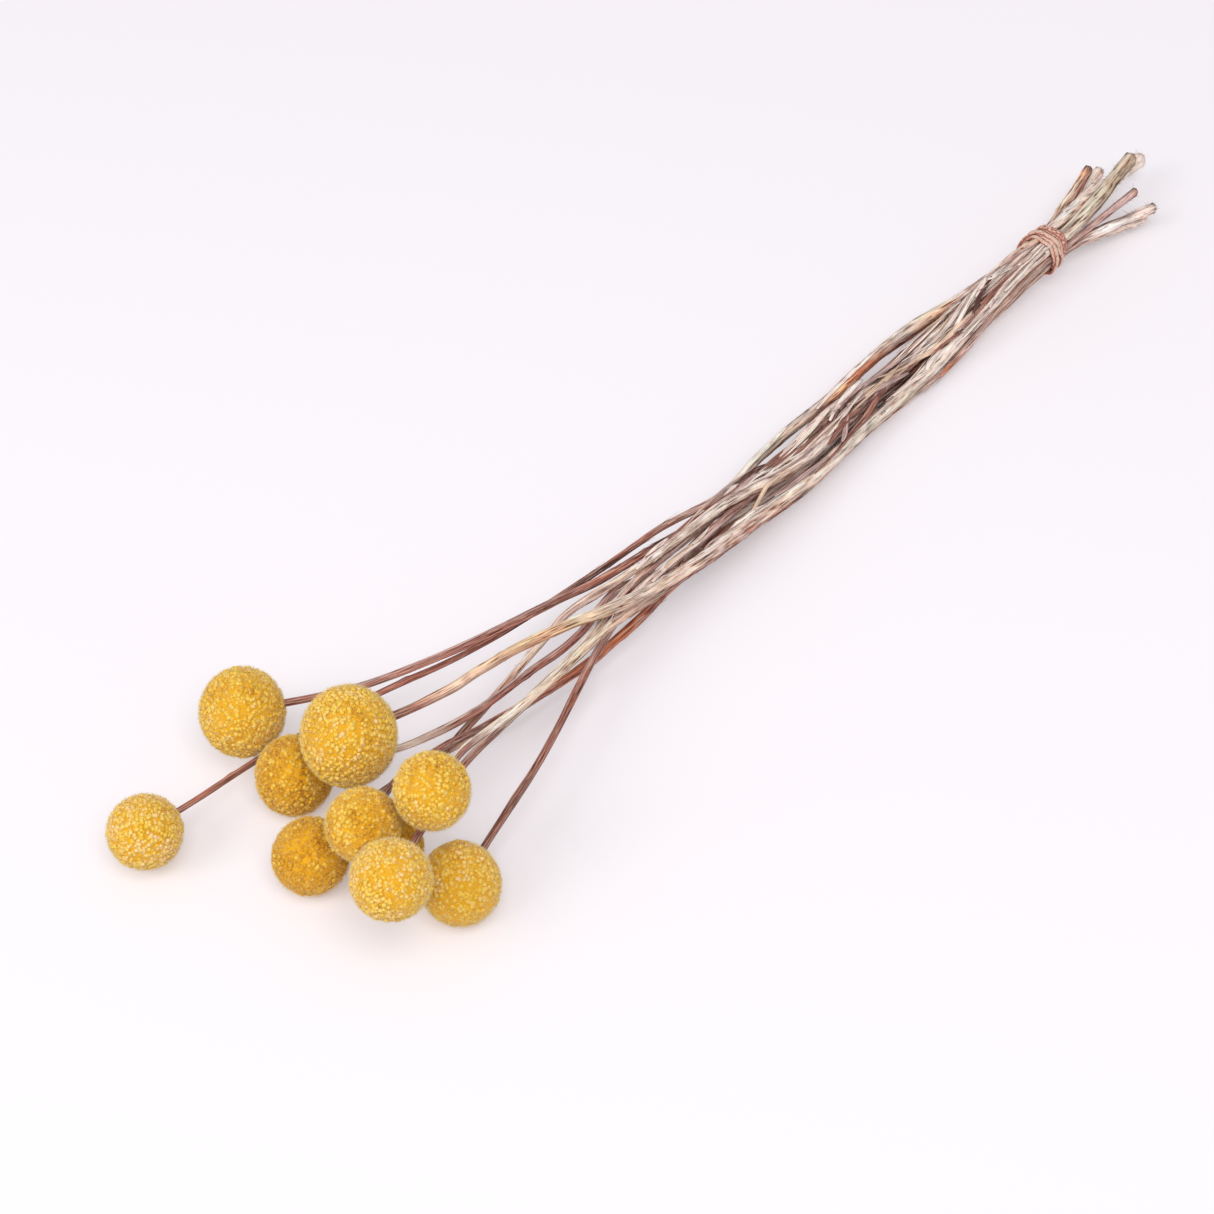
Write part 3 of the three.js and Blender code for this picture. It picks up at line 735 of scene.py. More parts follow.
# %% Stations
STATIONS = {  # place, far tone, near tone and wool
    "stem_01": """
        -226 red red 0, -110 red red 0, -60 red dark 0, -40 red red 0, -30 tan red 0.1, -18 red mauve 0.2,
        -8 cream mauve 0.6, 4 olive green 0.3, 20 olive green 0.3, 30 cream olive 0.4, 42 grey tan 0.3,
        54 grey brown 0.2, 64 tan orange 0.2, 78 brown rust 0.1, 88 green rust 0.3, 104 green grey 0.5,
        124 green orange 0.5, 140 grey mauve 0.4, 152 brown dark 0.2, 165 grey brown 0.4,
        184 tan brown 0.5, 200 gold brown 0.6, 212 tan brown 0.6, 220 orange brown 0.3, 224 dark dark 0.1
    """,
    "stem_02": """
        -176 brown red 0, -150 mauve red 0.1, -100 mauve red 0.1, -70 red brown 0, -50 dark red 0,
        -38 dark dark 0, -20 red mauve 0.2, 10 mauve brown 0.3, 30 brown mauve 0.2, 44 brown rust 0.1,
        60 orange rust 0.1, 80 rust brown 0.1, 90 orange rust 0.1, 112 rust brown 0.1,
        126 orange brown 0.1, 138 brown dark 0, 150 brown grey 0.2, 170 grey brown 0.3, 200 olive tan 0.3,
        208 wool wool 1.6, 226 wool wool 2, 234 orange wool 1
    """,
    "stem_03": """
        -180 cream tan 0, -160 brown cream 0, -145 cream brown 0, -128 mauve red 0.1, -90 mauve red 0.1,
        -60 brown mauve 0.2, -40 brown brown 0.2, -22 dark brown 0.1, 0 tan brown 0.3, 12 cream tan 0.4,
        30 grey mauve 0.5, 50 brown mauve 0.3, 66 pink brown 0.4, 80 wool grey 0.7, 100 wool cream 0.6,
        112 cream dark 0.3, 130 pink cream 0.6, 165 pink tan 0.5, 188 pink wool 1.6, 200 pink wool 2.6,
        224 wool pink 2.6
    """,
    "stem_04": """
        -167 brown brown 0, -158 tan brown 0, -140 gold tan 0.1, -110 gold orange 0.2, -90 tan gold 0.4,
        -74 cream tan 0.9, -40 wool tan 1, -16 cream brown 0.8, 10 cream tan 0.8, 40 grey cream 0.8,
        60 cream green 0.7, 68 dark cream 0.5, 78 brown green 0.6, 100 green cream 0.7,
        125 cream pink 0.6, 140 cream grey 0.6, 170 green cream 0.5, 190 green green 0.2,
        214 green olive 0.1, 228 green olive 0.1, 237 grey olive 0
    """,
    "stem_05": """
        -192 brown dark 0, -165 red brown 0, -140 red dark 0.1, -118 rust red 0, -80 rust rust 0,
        -60 rust red 0, -52 dark rust 0, -38 tan red 0.3, -4 mauve cream 0.5, 18 grey mauve 0.6,
        44 mauve grey 0.6, 58 dark mauve 0.3, 76 brown dark 0.1, 92 red dark 0.1, 108 brown red 0.2,
        122 cream brown 0.5, 160 green cream 0.5, 200 gold orange 0.3, 219 gold orange 0.2
    """,
    "stem_06": """
        -199 brown brown 0, -150 brown tan 0, -110 rust red 0, -60 rust brown 0, -46 mauve rust 0.2,
        -20 cream brown 0.4, 0 tan cream 0.5, 28 mauve green 0.6, 52 green cream 0.6, 80 cream pink 0.6,
        110 pink cream 0.6, 140 cream tan 0.5, 180 tan brown 0.4, 196 dark pink 0.4, 208 dark wool 0.4,
        216 dark wool 0.5, 222 pink pink 1.6, 227 dark dark 0.8
    """,
    # stem_07's dark near tone at 122 is a painted shadow
    "stem_07": """
        -203 brown brown 0, -165 brown brown 0, -150 cream brown 0.1, -130 gold green 0.2,
        -95 cream green 0.3, -70 cream brown 0.4, -40 tan mauve 0.4, -15 mauve brown 0.3,
        14 brown mauve 0.2, 32 dark mauve 0.2, 50 dark brown 0.3, 58 wool cream 0.9, 66 mauve grey 0.4,
        90 brown mauve 0.2, 108 dark mauve 0.2, 122 grey dark 0.3, 146 grey brown 0.5, 175 wool grey 0.7,
        221 cream tan 0.6
    """,
    "stem_08": """
        -178 tan brown 0, -165 cream brown 0.1, -150 gold cream 0.2, -110 cream gold 0.3,
        -80 cream tan 0.4, -50 cream brown 0.5, -20 tan brown 0.4, 8 cream rust 0.3, 16 brown dark 0.1,
        26 cream tan 0.6, 60 cream green 0.7, 76 cream rust 0.4, 84 cream green 0.6, 98 pink mauve 0.4,
        104 tan rust 0.3, 120 pink mauve 0.4, 150 cream brown 0.5, 190 mauve mauve 0.1, 212 mauve mauve 0,
        220 brown mauve 0, 225 olive brown 0.2
    """,
    "stem_09": """
        -178 dark brown 0, -150 red brown 0, -110 red brown 0, -92 mauve brown 0.1, -76 pink mauve 0.3,
        -50 cream mauve 0.5, -20 brown mauve 0.3, 10 mauve red 0.2, 36 mauve brown 0.3, 64 pink brown 0.3,
        76 brown dark 0.1, 90 dark brown 0.2, 104 pink grey 0.6, 130 wool grey 0.7, 150 grey olive 0.5,
        190 olive cream 0.4, 215 cream orange 0.5, 230 orange cream 0.7
    """,
    "stem_10": """
        -182 dark dark 0, -150 brown brown 0, -125 tan brown 0.1, -108 pink tan 0.3, -84 tan mauve 0.3,
        -60 cream tan 0.6, -40 wool cream 1, -10 wool cream 1, 14 wool tan 1, 34 pink wool 0.8,
        44 mauve brown 0.3, 62 brown dark 0.2, 74 dark mauve 0.1, 86 dark dark 0.1, 98 mauve grey 0.5,
        118 wool grey 0.8, 140 wool cream 0.7, 165 grey mauve 0.5, 200 wool cream 1, 222 wool pink 2,
        240 wool wool 3.2, 247 pink wool 3
    """,
}


def read_stations(text):
    """A stem's stations, taken from its text."""
    rows = [station.split() for station in text.split(",")]
    return [(float(place), far, near, float(wool)) for place, far, near, wool in rows]


def stations_at(node, x):
    """The far tone, the near tone and the wool at each x in millimetres along a stem."""
    at, *sides, wool = zip(*stations[node])
    mixed = []
    for side in sides:
        chosen = np.array([tone_of(name) for name in side])
        mixed.append(np.column_stack([np.interp(x, at, chosen[:, channel]) for channel in range(3)]))
    return *mixed, np.interp(x, at, wool)


stations = {stem: read_stations(text) for stem, text in STATIONS.items()}
print("the stems have", sum(len(rows) for rows in stations.values()), "stations")

# %% [markdown]
# ## The relief of a stem
# A drying stem shrinks, so its ribs stand out as fine ridges. Wool lies on it in clots, and each old leaf
# leaves a raised scar. A bump in the finish would be quicker to make, but these are large enough to show
# along the stem's edges. So the points of its skin are moved in and out, by random hills drawn out along
# the stem.

# %% The relief of a stem
SIDES = 20
RIBS = 7
RIB_HEIGHT = 0.05  # ribs and dents are shares of the radius
RIB_TWIST = 1.5
RIB_TWIST_LENGTH = 60.0
DENT_HEIGHT = 0.07
DENT_HILLS = (1.6, 0.12)  # hills to a unit round a stem and to a millimetre along it
WOOL_CLOTS = (3.6, 0.3, 1.2, -0.35)  # the same for patches, then their slope and where they start
WOOL_HEIGHT = 0.3
SCAR_SPACING = 31.0
SCAR_FIRST = 12.0
SCAR_LAST = 8.0  # before the cut end
SCAR_SHIFT = 8.0
SCAR_LENGTH = 1.5
SCAR_NARROWNESS = 3
SCAR_HEIGHT = 0.3
stem_turn = np.arange(SIDES) / SIDES * FULL_TURN


def patches(grain, seed, around, along, slope, start):
    """Drawn-out patches, from 0 where random hills are low to 1 where they are high."""
    return np.clip(streaks(grain, around, along, seed) * slope - start, 0, 1)


def leaf_scars(length, random):
    """How much of a leaf's scar lies at each point of the net round a stem."""
    places = np.arange(random.uniform(SCAR_FIRST, SCAR_SPACING), length[-1] - SCAR_LAST, SCAR_SPACING)
    places = places + random.uniform(-SCAR_SHIFT, SCAR_SHIFT, len(places))
    facing = random.uniform(0, FULL_TURN, len(places))
    scars = np.zeros((len(length), SIDES))
    for place, turn in zip(places, facing):
        near_by = np.exp(-(((length - place) / SCAR_LENGTH) ** 2))[:, None]
        scars += near_by * np.clip(np.cos(stem_turn - turn), 0, 1) ** SCAR_NARROWNESS
    return scars


def stem_reach(radius, length, grain, clots, scars, seed):
    """How far the skin stands from the middle of the stem, all over its net."""
    twist = RIB_TWIST * ripple(np.column_stack((length / RIB_TWIST_LENGTH,) * 3), seed)[:, None]
    ribs = RIB_HEIGHT * np.cos(RIBS * stem_turn + twist)
    dents = DENT_HEIGHT * streaks(grain, *DENT_HILLS, seed + 5)
    return radius[:, None] * (1 + ribs + dents) + WOOL_HEIGHT * clots + SCAR_HEIGHT * scars


print("ribs and dents move the skin by up to", round(RIB_HEIGHT + DENT_HEIGHT, 2), "of the radius")

# %% [markdown]
# ## The colours of a stem's skin
# On the real skin the tones run in long streaks, with patches of dark bark and rust-coloured flecks. Clots
# of wool pale them, and where the wool is thickest it lies as felt and hides the skin. The lamps alone
# leave the hollows of the bundle too light, so the skin is also darkened underneath and wherever two stems
# touch. All of this is mixed once for each point, which keeps the shader small.

# %% The colours of a stem's skin
FAR_SIDE_SPREAD = 0.9
FAR_SIDE_DRIFT = 0.5
FAR_SIDE_HILLS = (1.2, 0.05)
STREAK_HILLS = ((2.6, 0.04), (4.0, 0.07))
STREAK_SHARE = 0.6
STREAK_DEPTH = 0.84
TUFT_HILLS = (3.0, 0.2)
TUFT_SHARE = 0.8
TUFTS_TO_WOOL = 3
BARK_PATCHES = (1.5, 0.045, 4.0, 1.7)
BARK_SHARE = 0.6
RUST_FLECKS = (3.4, 0.09, 6.0, 3.6)
RUST_SHARE = 0.5
CLOT_COVER = 0.7
FELT_FROM = 1.1
FELT_MOST = 0.85
SCAR_SHADE = 0.55


def felted(wool):
    """How much of the skin is hidden where the wool is thick enough to lie as felt."""
    return np.clip(wool - FELT_FROM, 0, FELT_MOST)


def skin_colour(node, x, grain, clots, scars, seed):
    """The colour of points of a stem, with streaks, dark bark, rust flecks, wool and scars."""
    far, near, wool = stations_at(node, x)
    drift = FAR_SIDE_DRIFT * streaks(grain, *FAR_SIDE_HILLS, seed)
    far_share = np.clip(0.5 + FAR_SIDE_SPREAD * grain[:, 0] + drift, 0, 1)[:, None]
    colour = near + (far - near) * far_share
    wide, narrow = (streaks(grain, *hills, seed + 1 + layer) for layer, hills in enumerate(STREAK_HILLS))
    tufts = streaks(grain, *TUFT_HILLS, seed + 7) * np.clip(wool * TUFTS_TO_WOOL, 0, 1)
    streak = wide * STREAK_SHARE + narrow * STREAK_SHARE + tufts * TUFT_SHARE
    colour = colour * np.exp(STREAK_DEPTH * streak)[:, None]
    colour = blend(colour, tone_of("dark"), patches(grain, seed + 3, *BARK_PATCHES) * BARK_SHARE)
    colour = blend(colour, tone_of("rust"), patches(grain, seed + 4, *RUST_FLECKS) * RUST_SHARE)
    colour = blend(colour, tone_of("wool"), np.maximum(np.clip(clots, 0, 1) * CLOT_COVER, felted(wool)))
    return blend(colour, tone_of("brown"), scars * SCAR_SHADE)


print("felt hides", felted(np.array((1.0, 1.6, 2.6))).round(2), "of the skin where wool is 1, 1.6 and 2.6")

# %% Dark hollows
HOLLOW_TONE = np.array((0.46, 0.25, 0.18))  # what is left of red, green and blue where it is darkest
HOLLOW_FROM = 0.25
HOLLOW_FELT = 0.6
TUCK_REACH = 1.9


def tucked(node, points):
    """How close each point of a stem is to any other stem, from 0 for clear of it to 1 for touching."""
    gap = np.full(len(points), np.inf)
    for other, line in stem_lines.items():
        if other != node:
            y, z, radius = line_at(line, points[:, 0])
            apart = np.hypot(points[:, 1] - y, points[:, 2] - z) - radius
            along_it = (points[:, 0] > line[0, 0]) & (points[:, 0] < line[-1, 0])
            gap = np.where(along_it, np.minimum(gap, apart), gap)
    return np.clip(1 - gap / TUCK_REACH, 0, 1)


def darkened(colour, node, points, grain, wool):
    """The colours again, darker underneath and close to other stems, but less so where felt lies."""
    hidden = np.maximum(np.clip(HOLLOW_FROM - grain[:, 1], 0, 1), tucked(node, points))
    hidden = hidden * (1 - HOLLOW_FELT * felted(wool))
    return colour * (1 - hidden[:, None] * (1 - HOLLOW_TONE))


neck = stem_lines["stem_01"][:1, :3]
print("the neck of stem_01 is tucked in by", tucked("stem_01", neck)[0])

# %% [markdown]
# ## A whole stem
# The skin is a net of points round the stem's line. The florist's knife has cut each foot a little aslant,
# and the cut end shows pale pith, sunk in the middle. Cutting the tube with a Boolean would leave long thin
# triangles. Shifting the last rings along the stem gives the same slant and keeps the net even.

# %% A whole stem
FOOT_SLANT = 0.45
CUT_LENGTH = 3.0
CUT_ROUGHNESS = 0.25
CUT_HILLS = 2.5
CAP_RINGS = ((0.82, 0.0), (0.4, -0.25), (0.06, -0.3))  # share of the end ring, and how far out
PITH_SHARES = (0.3, 0.9, 0.9)
DARKEST = 0.01  # no red, green or blue goes below this


def cut_shift(points, middles, length, seed):
    """How far the points near the cut end are shifted along the stem."""
    close = np.clip((length - length[-1] + CUT_LENGTH) / CUT_LENGTH, 0, 1)[:, None]
    circle = np.column_stack((np.cos(stem_turn), np.sin(stem_turn), np.zeros(SIDES)))
    rough = CUT_ROUGHNESS * ripple(circle * CUT_HILLS, seed)
    return close * (FOOT_SLANT * (points[:, :, 2] - middles[:, None, 2]) + rough)


def cap_rings(points, middle, outward):
    """The rings that close one end of a stem, from the wide one inwards."""
    return [middle + (points - middle) * share + outward * depth for share, depth in CAP_RINGS]


def stem_shape(node, random):
    """The skin of a stem, closed at both ends, with its colour, wool and place along the grain."""
    middles, radius = stem_lines[node][:, :3], stem_lines[node][:, 3]
    along, far, top, length = stem_frame(middles)
    seed = int(random.integers(1, SEEDS))
    grain = tube_grain(stem_turn, length)
    _, _, wool = stations_at(node, middles[:, 0])
    clots = patches(grain, seed + 6, *WOOL_CLOTS) * wool[:, None]
    scars = leaf_scars(length, random)
    reach = stem_reach(radius, length, grain, clots, scars, seed)
    out = far[:, None] * np.cos(stem_turn)[:, None] + top[:, None] * np.sin(stem_turn)[:, None]
    points = middles[:, None] + out * reach[..., None]
    points = points + along[:, None] * cut_shift(points, middles, length, seed)[..., None]
    neck = cap_rings(points[0], middles[0], -along[0])[::-1]
    foot = cap_rings(points[-1], middles[-1], along[-1])
    points = np.concatenate((neck, points, foot)).reshape(-1, 3)

    ring = np.pad(np.arange(len(length)), len(CAP_RINGS), mode="edge")
    grain, clots, scars = grain[ring].reshape(-1, 3), clots[ring].ravel(), scars[ring].ravel()
    colour = skin_colour(node, np.repeat(middles[ring, 0], SIDES), grain, clots, scars, seed)
    colour = darkened(colour, node, points, grain, np.repeat(wool[ring], SIDES))
    pith = np.zeros(len(ring))
    pith[-len(CAP_RINGS) :] = PITH_SHARES
    colour = blend(colour, tone_of("cream"), np.repeat(pith, SIDES))
    return {
        "points": points,
        "triangles": tube_faces(len(ring), SIDES),
        "skin": np.clip(colour, DARKEST, 1),
        "grain": grain,
        "wool": clots,
    }


test_skin = stem_shape("stem_04", np.random.default_rng(4))
print("stem_04 has", len(test_skin["triangles"]), "triangles of skin")

# %% [markdown]
# ## Wool, hairs and peeling bark
# Short hairs stand on the woolly stretches and reach past the edge of the stem, longer wisps hang from the
# feet, and slivers of dry bark lift here and there along the bundle. A very fine skin with a rough relief
# could give a furry edge, but it would need millions of triangles, and a hair needs only ten. Each fibre
# takes the colour of the stem at its root, drawn part of the way to a tone of its own.

# %% Roots and colours of fibres
FIBRE_TONE_SHARE = (0.2, 0.8)


def roots_on(node, at, turn, depth):
    """Points on a stem's skin and the frame there, for places along its line and round it."""
    line = stem_lines[node]
    along, far, top, _ = stem_frame(line[:, :3])
    out = far[at] * np.cos(turn)[:, None] + top[at] * np.sin(turn)[:, None]
    return line[at, :3] + out * (line[at, 3:] - depth), along[at], out


def fibre_colours(node, shape, at, turn, own, random):
    """Gives fibres the stem's tone at their roots, drawn by a random share towards one of their own tones."""
    far, near, _ = stations_at(node, stem_lines[node][at, 0])
    far_share = np.clip(0.5 + FAR_SIDE_SPREAD * np.cos(turn), 0, 1)[:, None]
    toward = np.array([tone_of(name) for name in random.choice(own, len(at))])
    colour = blend(near + (far - near) * far_share, toward, random.uniform(*FIBRE_TONE_SHARE, len(at)))
    grain = np.column_stack((np.cos(turn), np.sin(turn), at.astype(float)))
    each = len(shape["points"]) // len(at)
    shape["skin"] = np.clip(np.repeat(colour, each, axis=0), DARKEST, 1)
    shape["grain"] = np.repeat(grain, each, axis=0)
    shape["wool"] = np.zeros(len(shape["points"]))
    return shape


first_root = roots_on("stem_01", np.array([0]), np.zeros(1), 0.1)[0][0]
print("a root at the neck of stem_01 lies at", first_root.round(1), "mm")

# %% Hairs
HAIRS_TO_RING = 5.5
BARE_SKIN_HAIR = 0.04
HAIR_DEPTH = 0.1
HAIR_LEAN = (0.1, 1.1)
HAIR_LENGTH = (0.5, 1.9)
HAIR_WIDTH = (0.09, 0.2)
HAIR_LIFT = 0.15
HAIR_ON_BARE = 0.6
HAIR_ON_WOOL = 0.4


def hair_shape(node, random):
    """Short curved hairs, thick on the ground where the stem is woolly."""
    line = stem_lines[node]
    _, _, wool = stations_at(node, line[:, 0])
    crowding = wool + BARE_SKIN_HAIR
    count = int(HAIRS_TO_RING * crowding.sum())
    at = random.choice(len(line), count, p=crowding / crowding.sum())
    turn = random.uniform(0, FULL_TURN, count)
    root, along, out = roots_on(node, at, turn, HAIR_DEPTH)
    way = random.choice((-1, 1), count)[:, None]
    lean = unit(along * way + out * random.uniform(*HAIR_LEAN, count)[:, None])
    length = random.uniform(*HAIR_LENGTH, count) * (HAIR_ON_BARE + HAIR_ON_WOOL * wool[at])
    width = random.uniform(*HAIR_WIDTH, count)
    shape = fibre_shape(root, lean, out, length, width, HAIR_LIFT, rings=2)
    return fibre_colours(node, shape, at, turn, ("wool", "cream"), random)


test_hair = hair_shape("stem_10", np.random.default_rng(10))
print("stem_10 has", len(test_hair["triangles"]), "triangles of hair")

# %% Slivers and wisps
SLIVERS_TO_RING = 0.4
SLIVERS_FROM = -70
SLIVERS_END = 6  # rings before the cut end
SLIVER_DEPTH = 0.05
SLIVER_WAYS = (0.6, 0.4)  # how many point back to the heads, and how many to the feet
SLIVER_LENGTH = (3.0, 13.0)
SLIVER_WIDTH = (0.35, 1.0)
SLIVER_LIFT = (0.0, 0.1)
SLIVER_FLATNESS = 0.35
LOOSE_TONES = (
    "cream", "wool", "wool", "pink", "pink", "pink",
    "mauve", "mauve", "brown", "brown", "dark", "tan",
)
WISPS = {"stem_02": 60, "stem_03": 140, "stem_06": 60, "stem_08": 20, "stem_09": 40, "stem_10": 260}
WISPS_ELSEWHERE = 12
WISP_RINGS = 9
WISP_DEPTH = 0.3
WISP_ALONG = (-0.3, 1.2)
WISP_OUT = (0.2, 1.0)
WISP_LENGTH = (1.0, 3.6)
WISP_WIDTH = (0.12, 0.3)
WISP_LIFT = (-0.4, 0.4)
WISP_FLATNESS = 0.6


def sliver_shape(node, random):
    """Slivers of bark and papery leaf ends that lie along the stem and lift at one end."""
    bundled = np.flatnonzero(stem_lines[node][:, 0] > SLIVERS_FROM)
    count = int(SLIVERS_TO_RING * len(bundled))
    at = random.choice(bundled[:-SLIVERS_END], count)
    turn = random.uniform(0, FULL_TURN, count)
    root, along, out = roots_on(node, at, turn, SLIVER_DEPTH)
    along = along * random.choice((-1, 1), count, p=SLIVER_WAYS)[:, None]
    spans = (SLIVER_LENGTH, SLIVER_WIDTH, SLIVER_LIFT)
    length, width, lift = (random.uniform(*span, count) for span in spans)
    shape = fibre_shape(root, along, out, length, width, lift, rings=4, flatness=SLIVER_FLATNESS)
    return fibre_colours(node, shape, at, turn, LOOSE_TONES, random)


def wisp_shape(node, random):
    """Long thin wisps of wool round the cut end."""
    count = WISPS.get(node, WISPS_ELSEWHERE)
    rings = len(stem_lines[node])
    at = random.integers(rings - WISP_RINGS, rings, count)
    turn = random.uniform(0, FULL_TURN, count)
    root, along, out = roots_on(node, at, turn, WISP_DEPTH)
    forward, outward = (random.uniform(*span, count)[:, None] for span in (WISP_ALONG, WISP_OUT))
    lean = unit(along * forward + out * outward)
    spans = (WISP_LENGTH, WISP_WIDTH, WISP_LIFT)
    length, width, lift = (random.uniform(*span, count) for span in spans)
    shape = fibre_shape(root, lean, out, length, width, lift, rings=3, flatness=WISP_FLATNESS)
    return fibre_colours(node, shape, at, turn, ("wool", "pink"), random)


test_slivers = sliver_shape("stem_10", np.random.default_rng(10))
print("stem_10 has", len(test_slivers["triangles"]), "triangles of slivers")

# %% [markdown]
# ## The finish of a dried stem
# The colours come from the points. Long fine fibres are too small to model, and an image of bark would show
# a seam along every stem. So they are noise stretched along the grain: its coordinates are the place round
# the stem, which closes on itself with no seam, and the length along it. The same noise darkens the
# furrows and pales the ridges, partly the fibres' own dark and pale streaks and partly painted shade and
# painted highlight, and it feeds the bump.

# %% The finish of a dried stem
FIBRE_BROAD = (3.2, 3.2, 0.07)
FIBRE_FINE = (6.0, 6.0, 0.2)
FURROW_TONE = srgb(124, 80, 72)
RIDGE_TONE = srgb(252, 228, 206)
RELIEF = 0.0002  # metres

stem_finish, tone, shader = new_finish("dry_stem_skin", 0.78)
skin = tone.carried("skin", "Color")
grain = tone.carried("grain", "Vector")
wool = tone.carried("wool")
broad = grain.stretched(FIBRE_BROAD).noise(1.0, 3.0)
fine = grain.stretched(FIBRE_FINE).noise(1.0, 2.0)
fibre = broad * 0.5 + fine * 0.5
# the furrows are darkened, partly the fibres' own dark streaks and partly painted shade
furrow = fibre.rise(0.49, 0.38) * (1 - wool * 0.5)
# the ridges are paled, partly pale wool fibres and partly painted highlight
ridge = fibre.rise(0.52, 0.61) * (wool * 0.8 + 0.36)
link_finish(ridge.mix(furrow.mix(skin, FURROW_TONE, "MULTIPLY"), RIDGE_TONE), shader, "Base Color")
link_finish(fibre.bump(0.5, RELIEF), shader, "Normal")
print("dry_stem_skin has", len(stem_finish.node_tree.nodes), "nodes")

# %% [markdown]
# ## Making the stems and heads
# Every stem of the real bunch is different. Modelling one and copying it ten times would show at once, so
# each pair of a stem and its head is grown from its own seeded random numbers, which also give the same
# bunch every time. A head's age runs from fresh and deep yellow at 0 to bleached at 1.

# %% Making the stems and heads
# head_06's age below 0 darkens it, partly its own deep colour and partly painted shade from its neighbours
HEAD_LOOKS = {  # age and stretch
    "head_01": (0.68, 1.0), "head_02": (0.42, 1.05), "head_03": (0.12, 1.05), "head_04": (0.54, 1.06),
    "head_05": (0.24, 1.0), "head_06": (-0.1, 1.03), "head_07": (0.62, 1.0), "head_08": (0.38, 1.03),
    "head_09": (0.48, 1.05), "head_10": (0.3, 1.0),
}
for number, (stem, head) in enumerate(zip(STEMS, HEADS), start=1):
    random = np.random.default_rng(number)
    parts = [make(stem, random) for make in (stem_shape, hair_shape, sliver_shape, wisp_shape)]
    make_piece(f"dried_{stem}", join_shapes(parts), stem_finish, "dry_stem", stem)
    neck = stem_lines[stem][0]
    ball = head_shape(head, neck[:3], neck[3], *HEAD_LOOKS[head], random)
    make_piece(f"flower_{head}", ball, head_finish, "flower_head", head)

# %% [markdown]
# ## Dry leaf strands
# The narrow leaves of the stems have dried to thin strands, and in the bundle they lie over and between the
# stems in every tone from cream to dark brown. A cloth simulation could drop them there, but it takes long
# and comes out differently each time. So each strand starts on a stem, runs along the bundle and drifts
# sideways. It is laid on whatever is highest under it, and bridges the furrows in between, as a stiff
# strand would. One that would cross a hole in the bundle is drawn again, so the holes stay open.

# %% Laying a strand on the bundle
STRAND_REACH = 0.7
BRIDGE = 5  # points of the strand to each side
SMOOTHING = 7  # points in all
SIGHT = np.array((0.76, 0.64, -1.0))  # how a look from the front goes on, for each millimetre down
SIGHT_STEP = 0.6
SIGHT_STEPS = 24


def bundle_top(x, y):
    """The height of the highest stem under each place, or nothing where there is none."""
    top = np.full(len(x), -np.inf)
    for line in stem_lines.values():
        beside, middle, radius = line_at(line, x)
        inside = radius**2 - (y - beside) ** 2
        top = np.where(inside > 0, np.maximum(top, middle + np.sqrt(np.maximum(inside, 0))), top)
    return top


def laid_height(x, y):
    """The height of a stiff strand over the bundle: the highest stem near each point, smoothed."""
    top = np.max([bundle_top(x, y + shift) for shift in (-STRAND_REACH, 0, STRAND_REACH)], axis=0)
    near_by = np.array([top[max(0, i - BRIDGE) : i + BRIDGE + 1].max() for i in range(len(x))])
    known = np.isfinite(near_by)
    height = np.interp(np.arange(len(x)), np.flatnonzero(known), near_by[known])
    padded = np.pad(height, SMOOTHING // 2, mode="edge")
    smooth = np.convolve(padded, np.ones(SMOOTHING) / SMOOTHING, "valid")
    return np.maximum(smooth, np.where(np.isfinite(top), top, 0))


def hides_hole(path):
    """Whether a strand has no stem behind it somewhere, as one looks down on the bundle from the front."""
    clear = np.ones(len(path), bool)
    for step in range(1, SIGHT_STEPS):
        x, y, z = (path + SIGHT * SIGHT_STEP * step).T
        clear &= bundle_top(x, y) < z
    return clear.any()


print("the bundle is", bundle_top(*stem_lines["stem_04"][100:101, :2].T).round(1)[0], "mm high over stem_04")

# %% The line of a strand
STRANDS_FROM = -60
STRANDS_TO = 165
STRAND_LENGTH = (12, 48)
STRAND_PAST_END = 8
STRAND_STEP = 1.5
START_DRIFT = 1.2
END_DRIFT = 2.2
WAVE = 0.4
WAVE_TURN = 5
LEAST_OVER_STEMS = 0.95
PRESSED_IN = 0.4
TAIL_LIFT = (0, 0.6)
START_LIFT = (0, 0.4)


def strand_path(thick, random):
    """The line of one strand, drawn again until it hides no hole."""
    while True:
        line = stem_lines[random.choice(STEMS)]
        start, length = random.uniform(STRANDS_FROM, STRANDS_TO), random.uniform(*STRAND_LENGTH)
        x = np.arange(start, min(start + length, STRANDS_TO + STRAND_PAST_END), STRAND_STEP)
        share = np.linspace(0, 1, len(x))
        drift = random.uniform(-START_DRIFT, START_DRIFT) + random.normal(0, END_DRIFT) * share
        y = line_at(line, x)[0] + (drift + WAVE * np.sin(share * WAVE_TURN + start))
        if np.isfinite(bundle_top(x, y)).mean() < LEAST_OVER_STEMS:
            continue
        path = np.column_stack((x, y, laid_height(x, y) + thick * PRESSED_IN))
        tail_lift, start_lift = random.uniform(*TAIL_LIFT), random.uniform(*START_LIFT)
        path[:, 2] += tail_lift * share**4 + start_lift * (1 - share) ** 6
        if not hides_hole(path):
            return path, share


print("a strand has", len(strand_path(0.2, np.random.default_rng(1))[0]), "rings")

# %% All the strands
STRANDS = 96
STRAND_WIDTH = (0.7, 2.5)
STRAND_THICK = (0.16, 0.08)  # at no width, and more for each millimetre of width
STRAND_TAPER = (0.06, 0.9)
STRAND_ROLL = 0.6
SIDE_CORNERS = 1.8
STRAND_BRIGHTNESS = (0.85, 1.1)
MOTTLE = 0.35
MOTTLE_HILLS = (0.8, 0.25)
MOTTLE_SEED = 3
GRAIN_APART = 7  # takes each strand to its own stretch of the noise


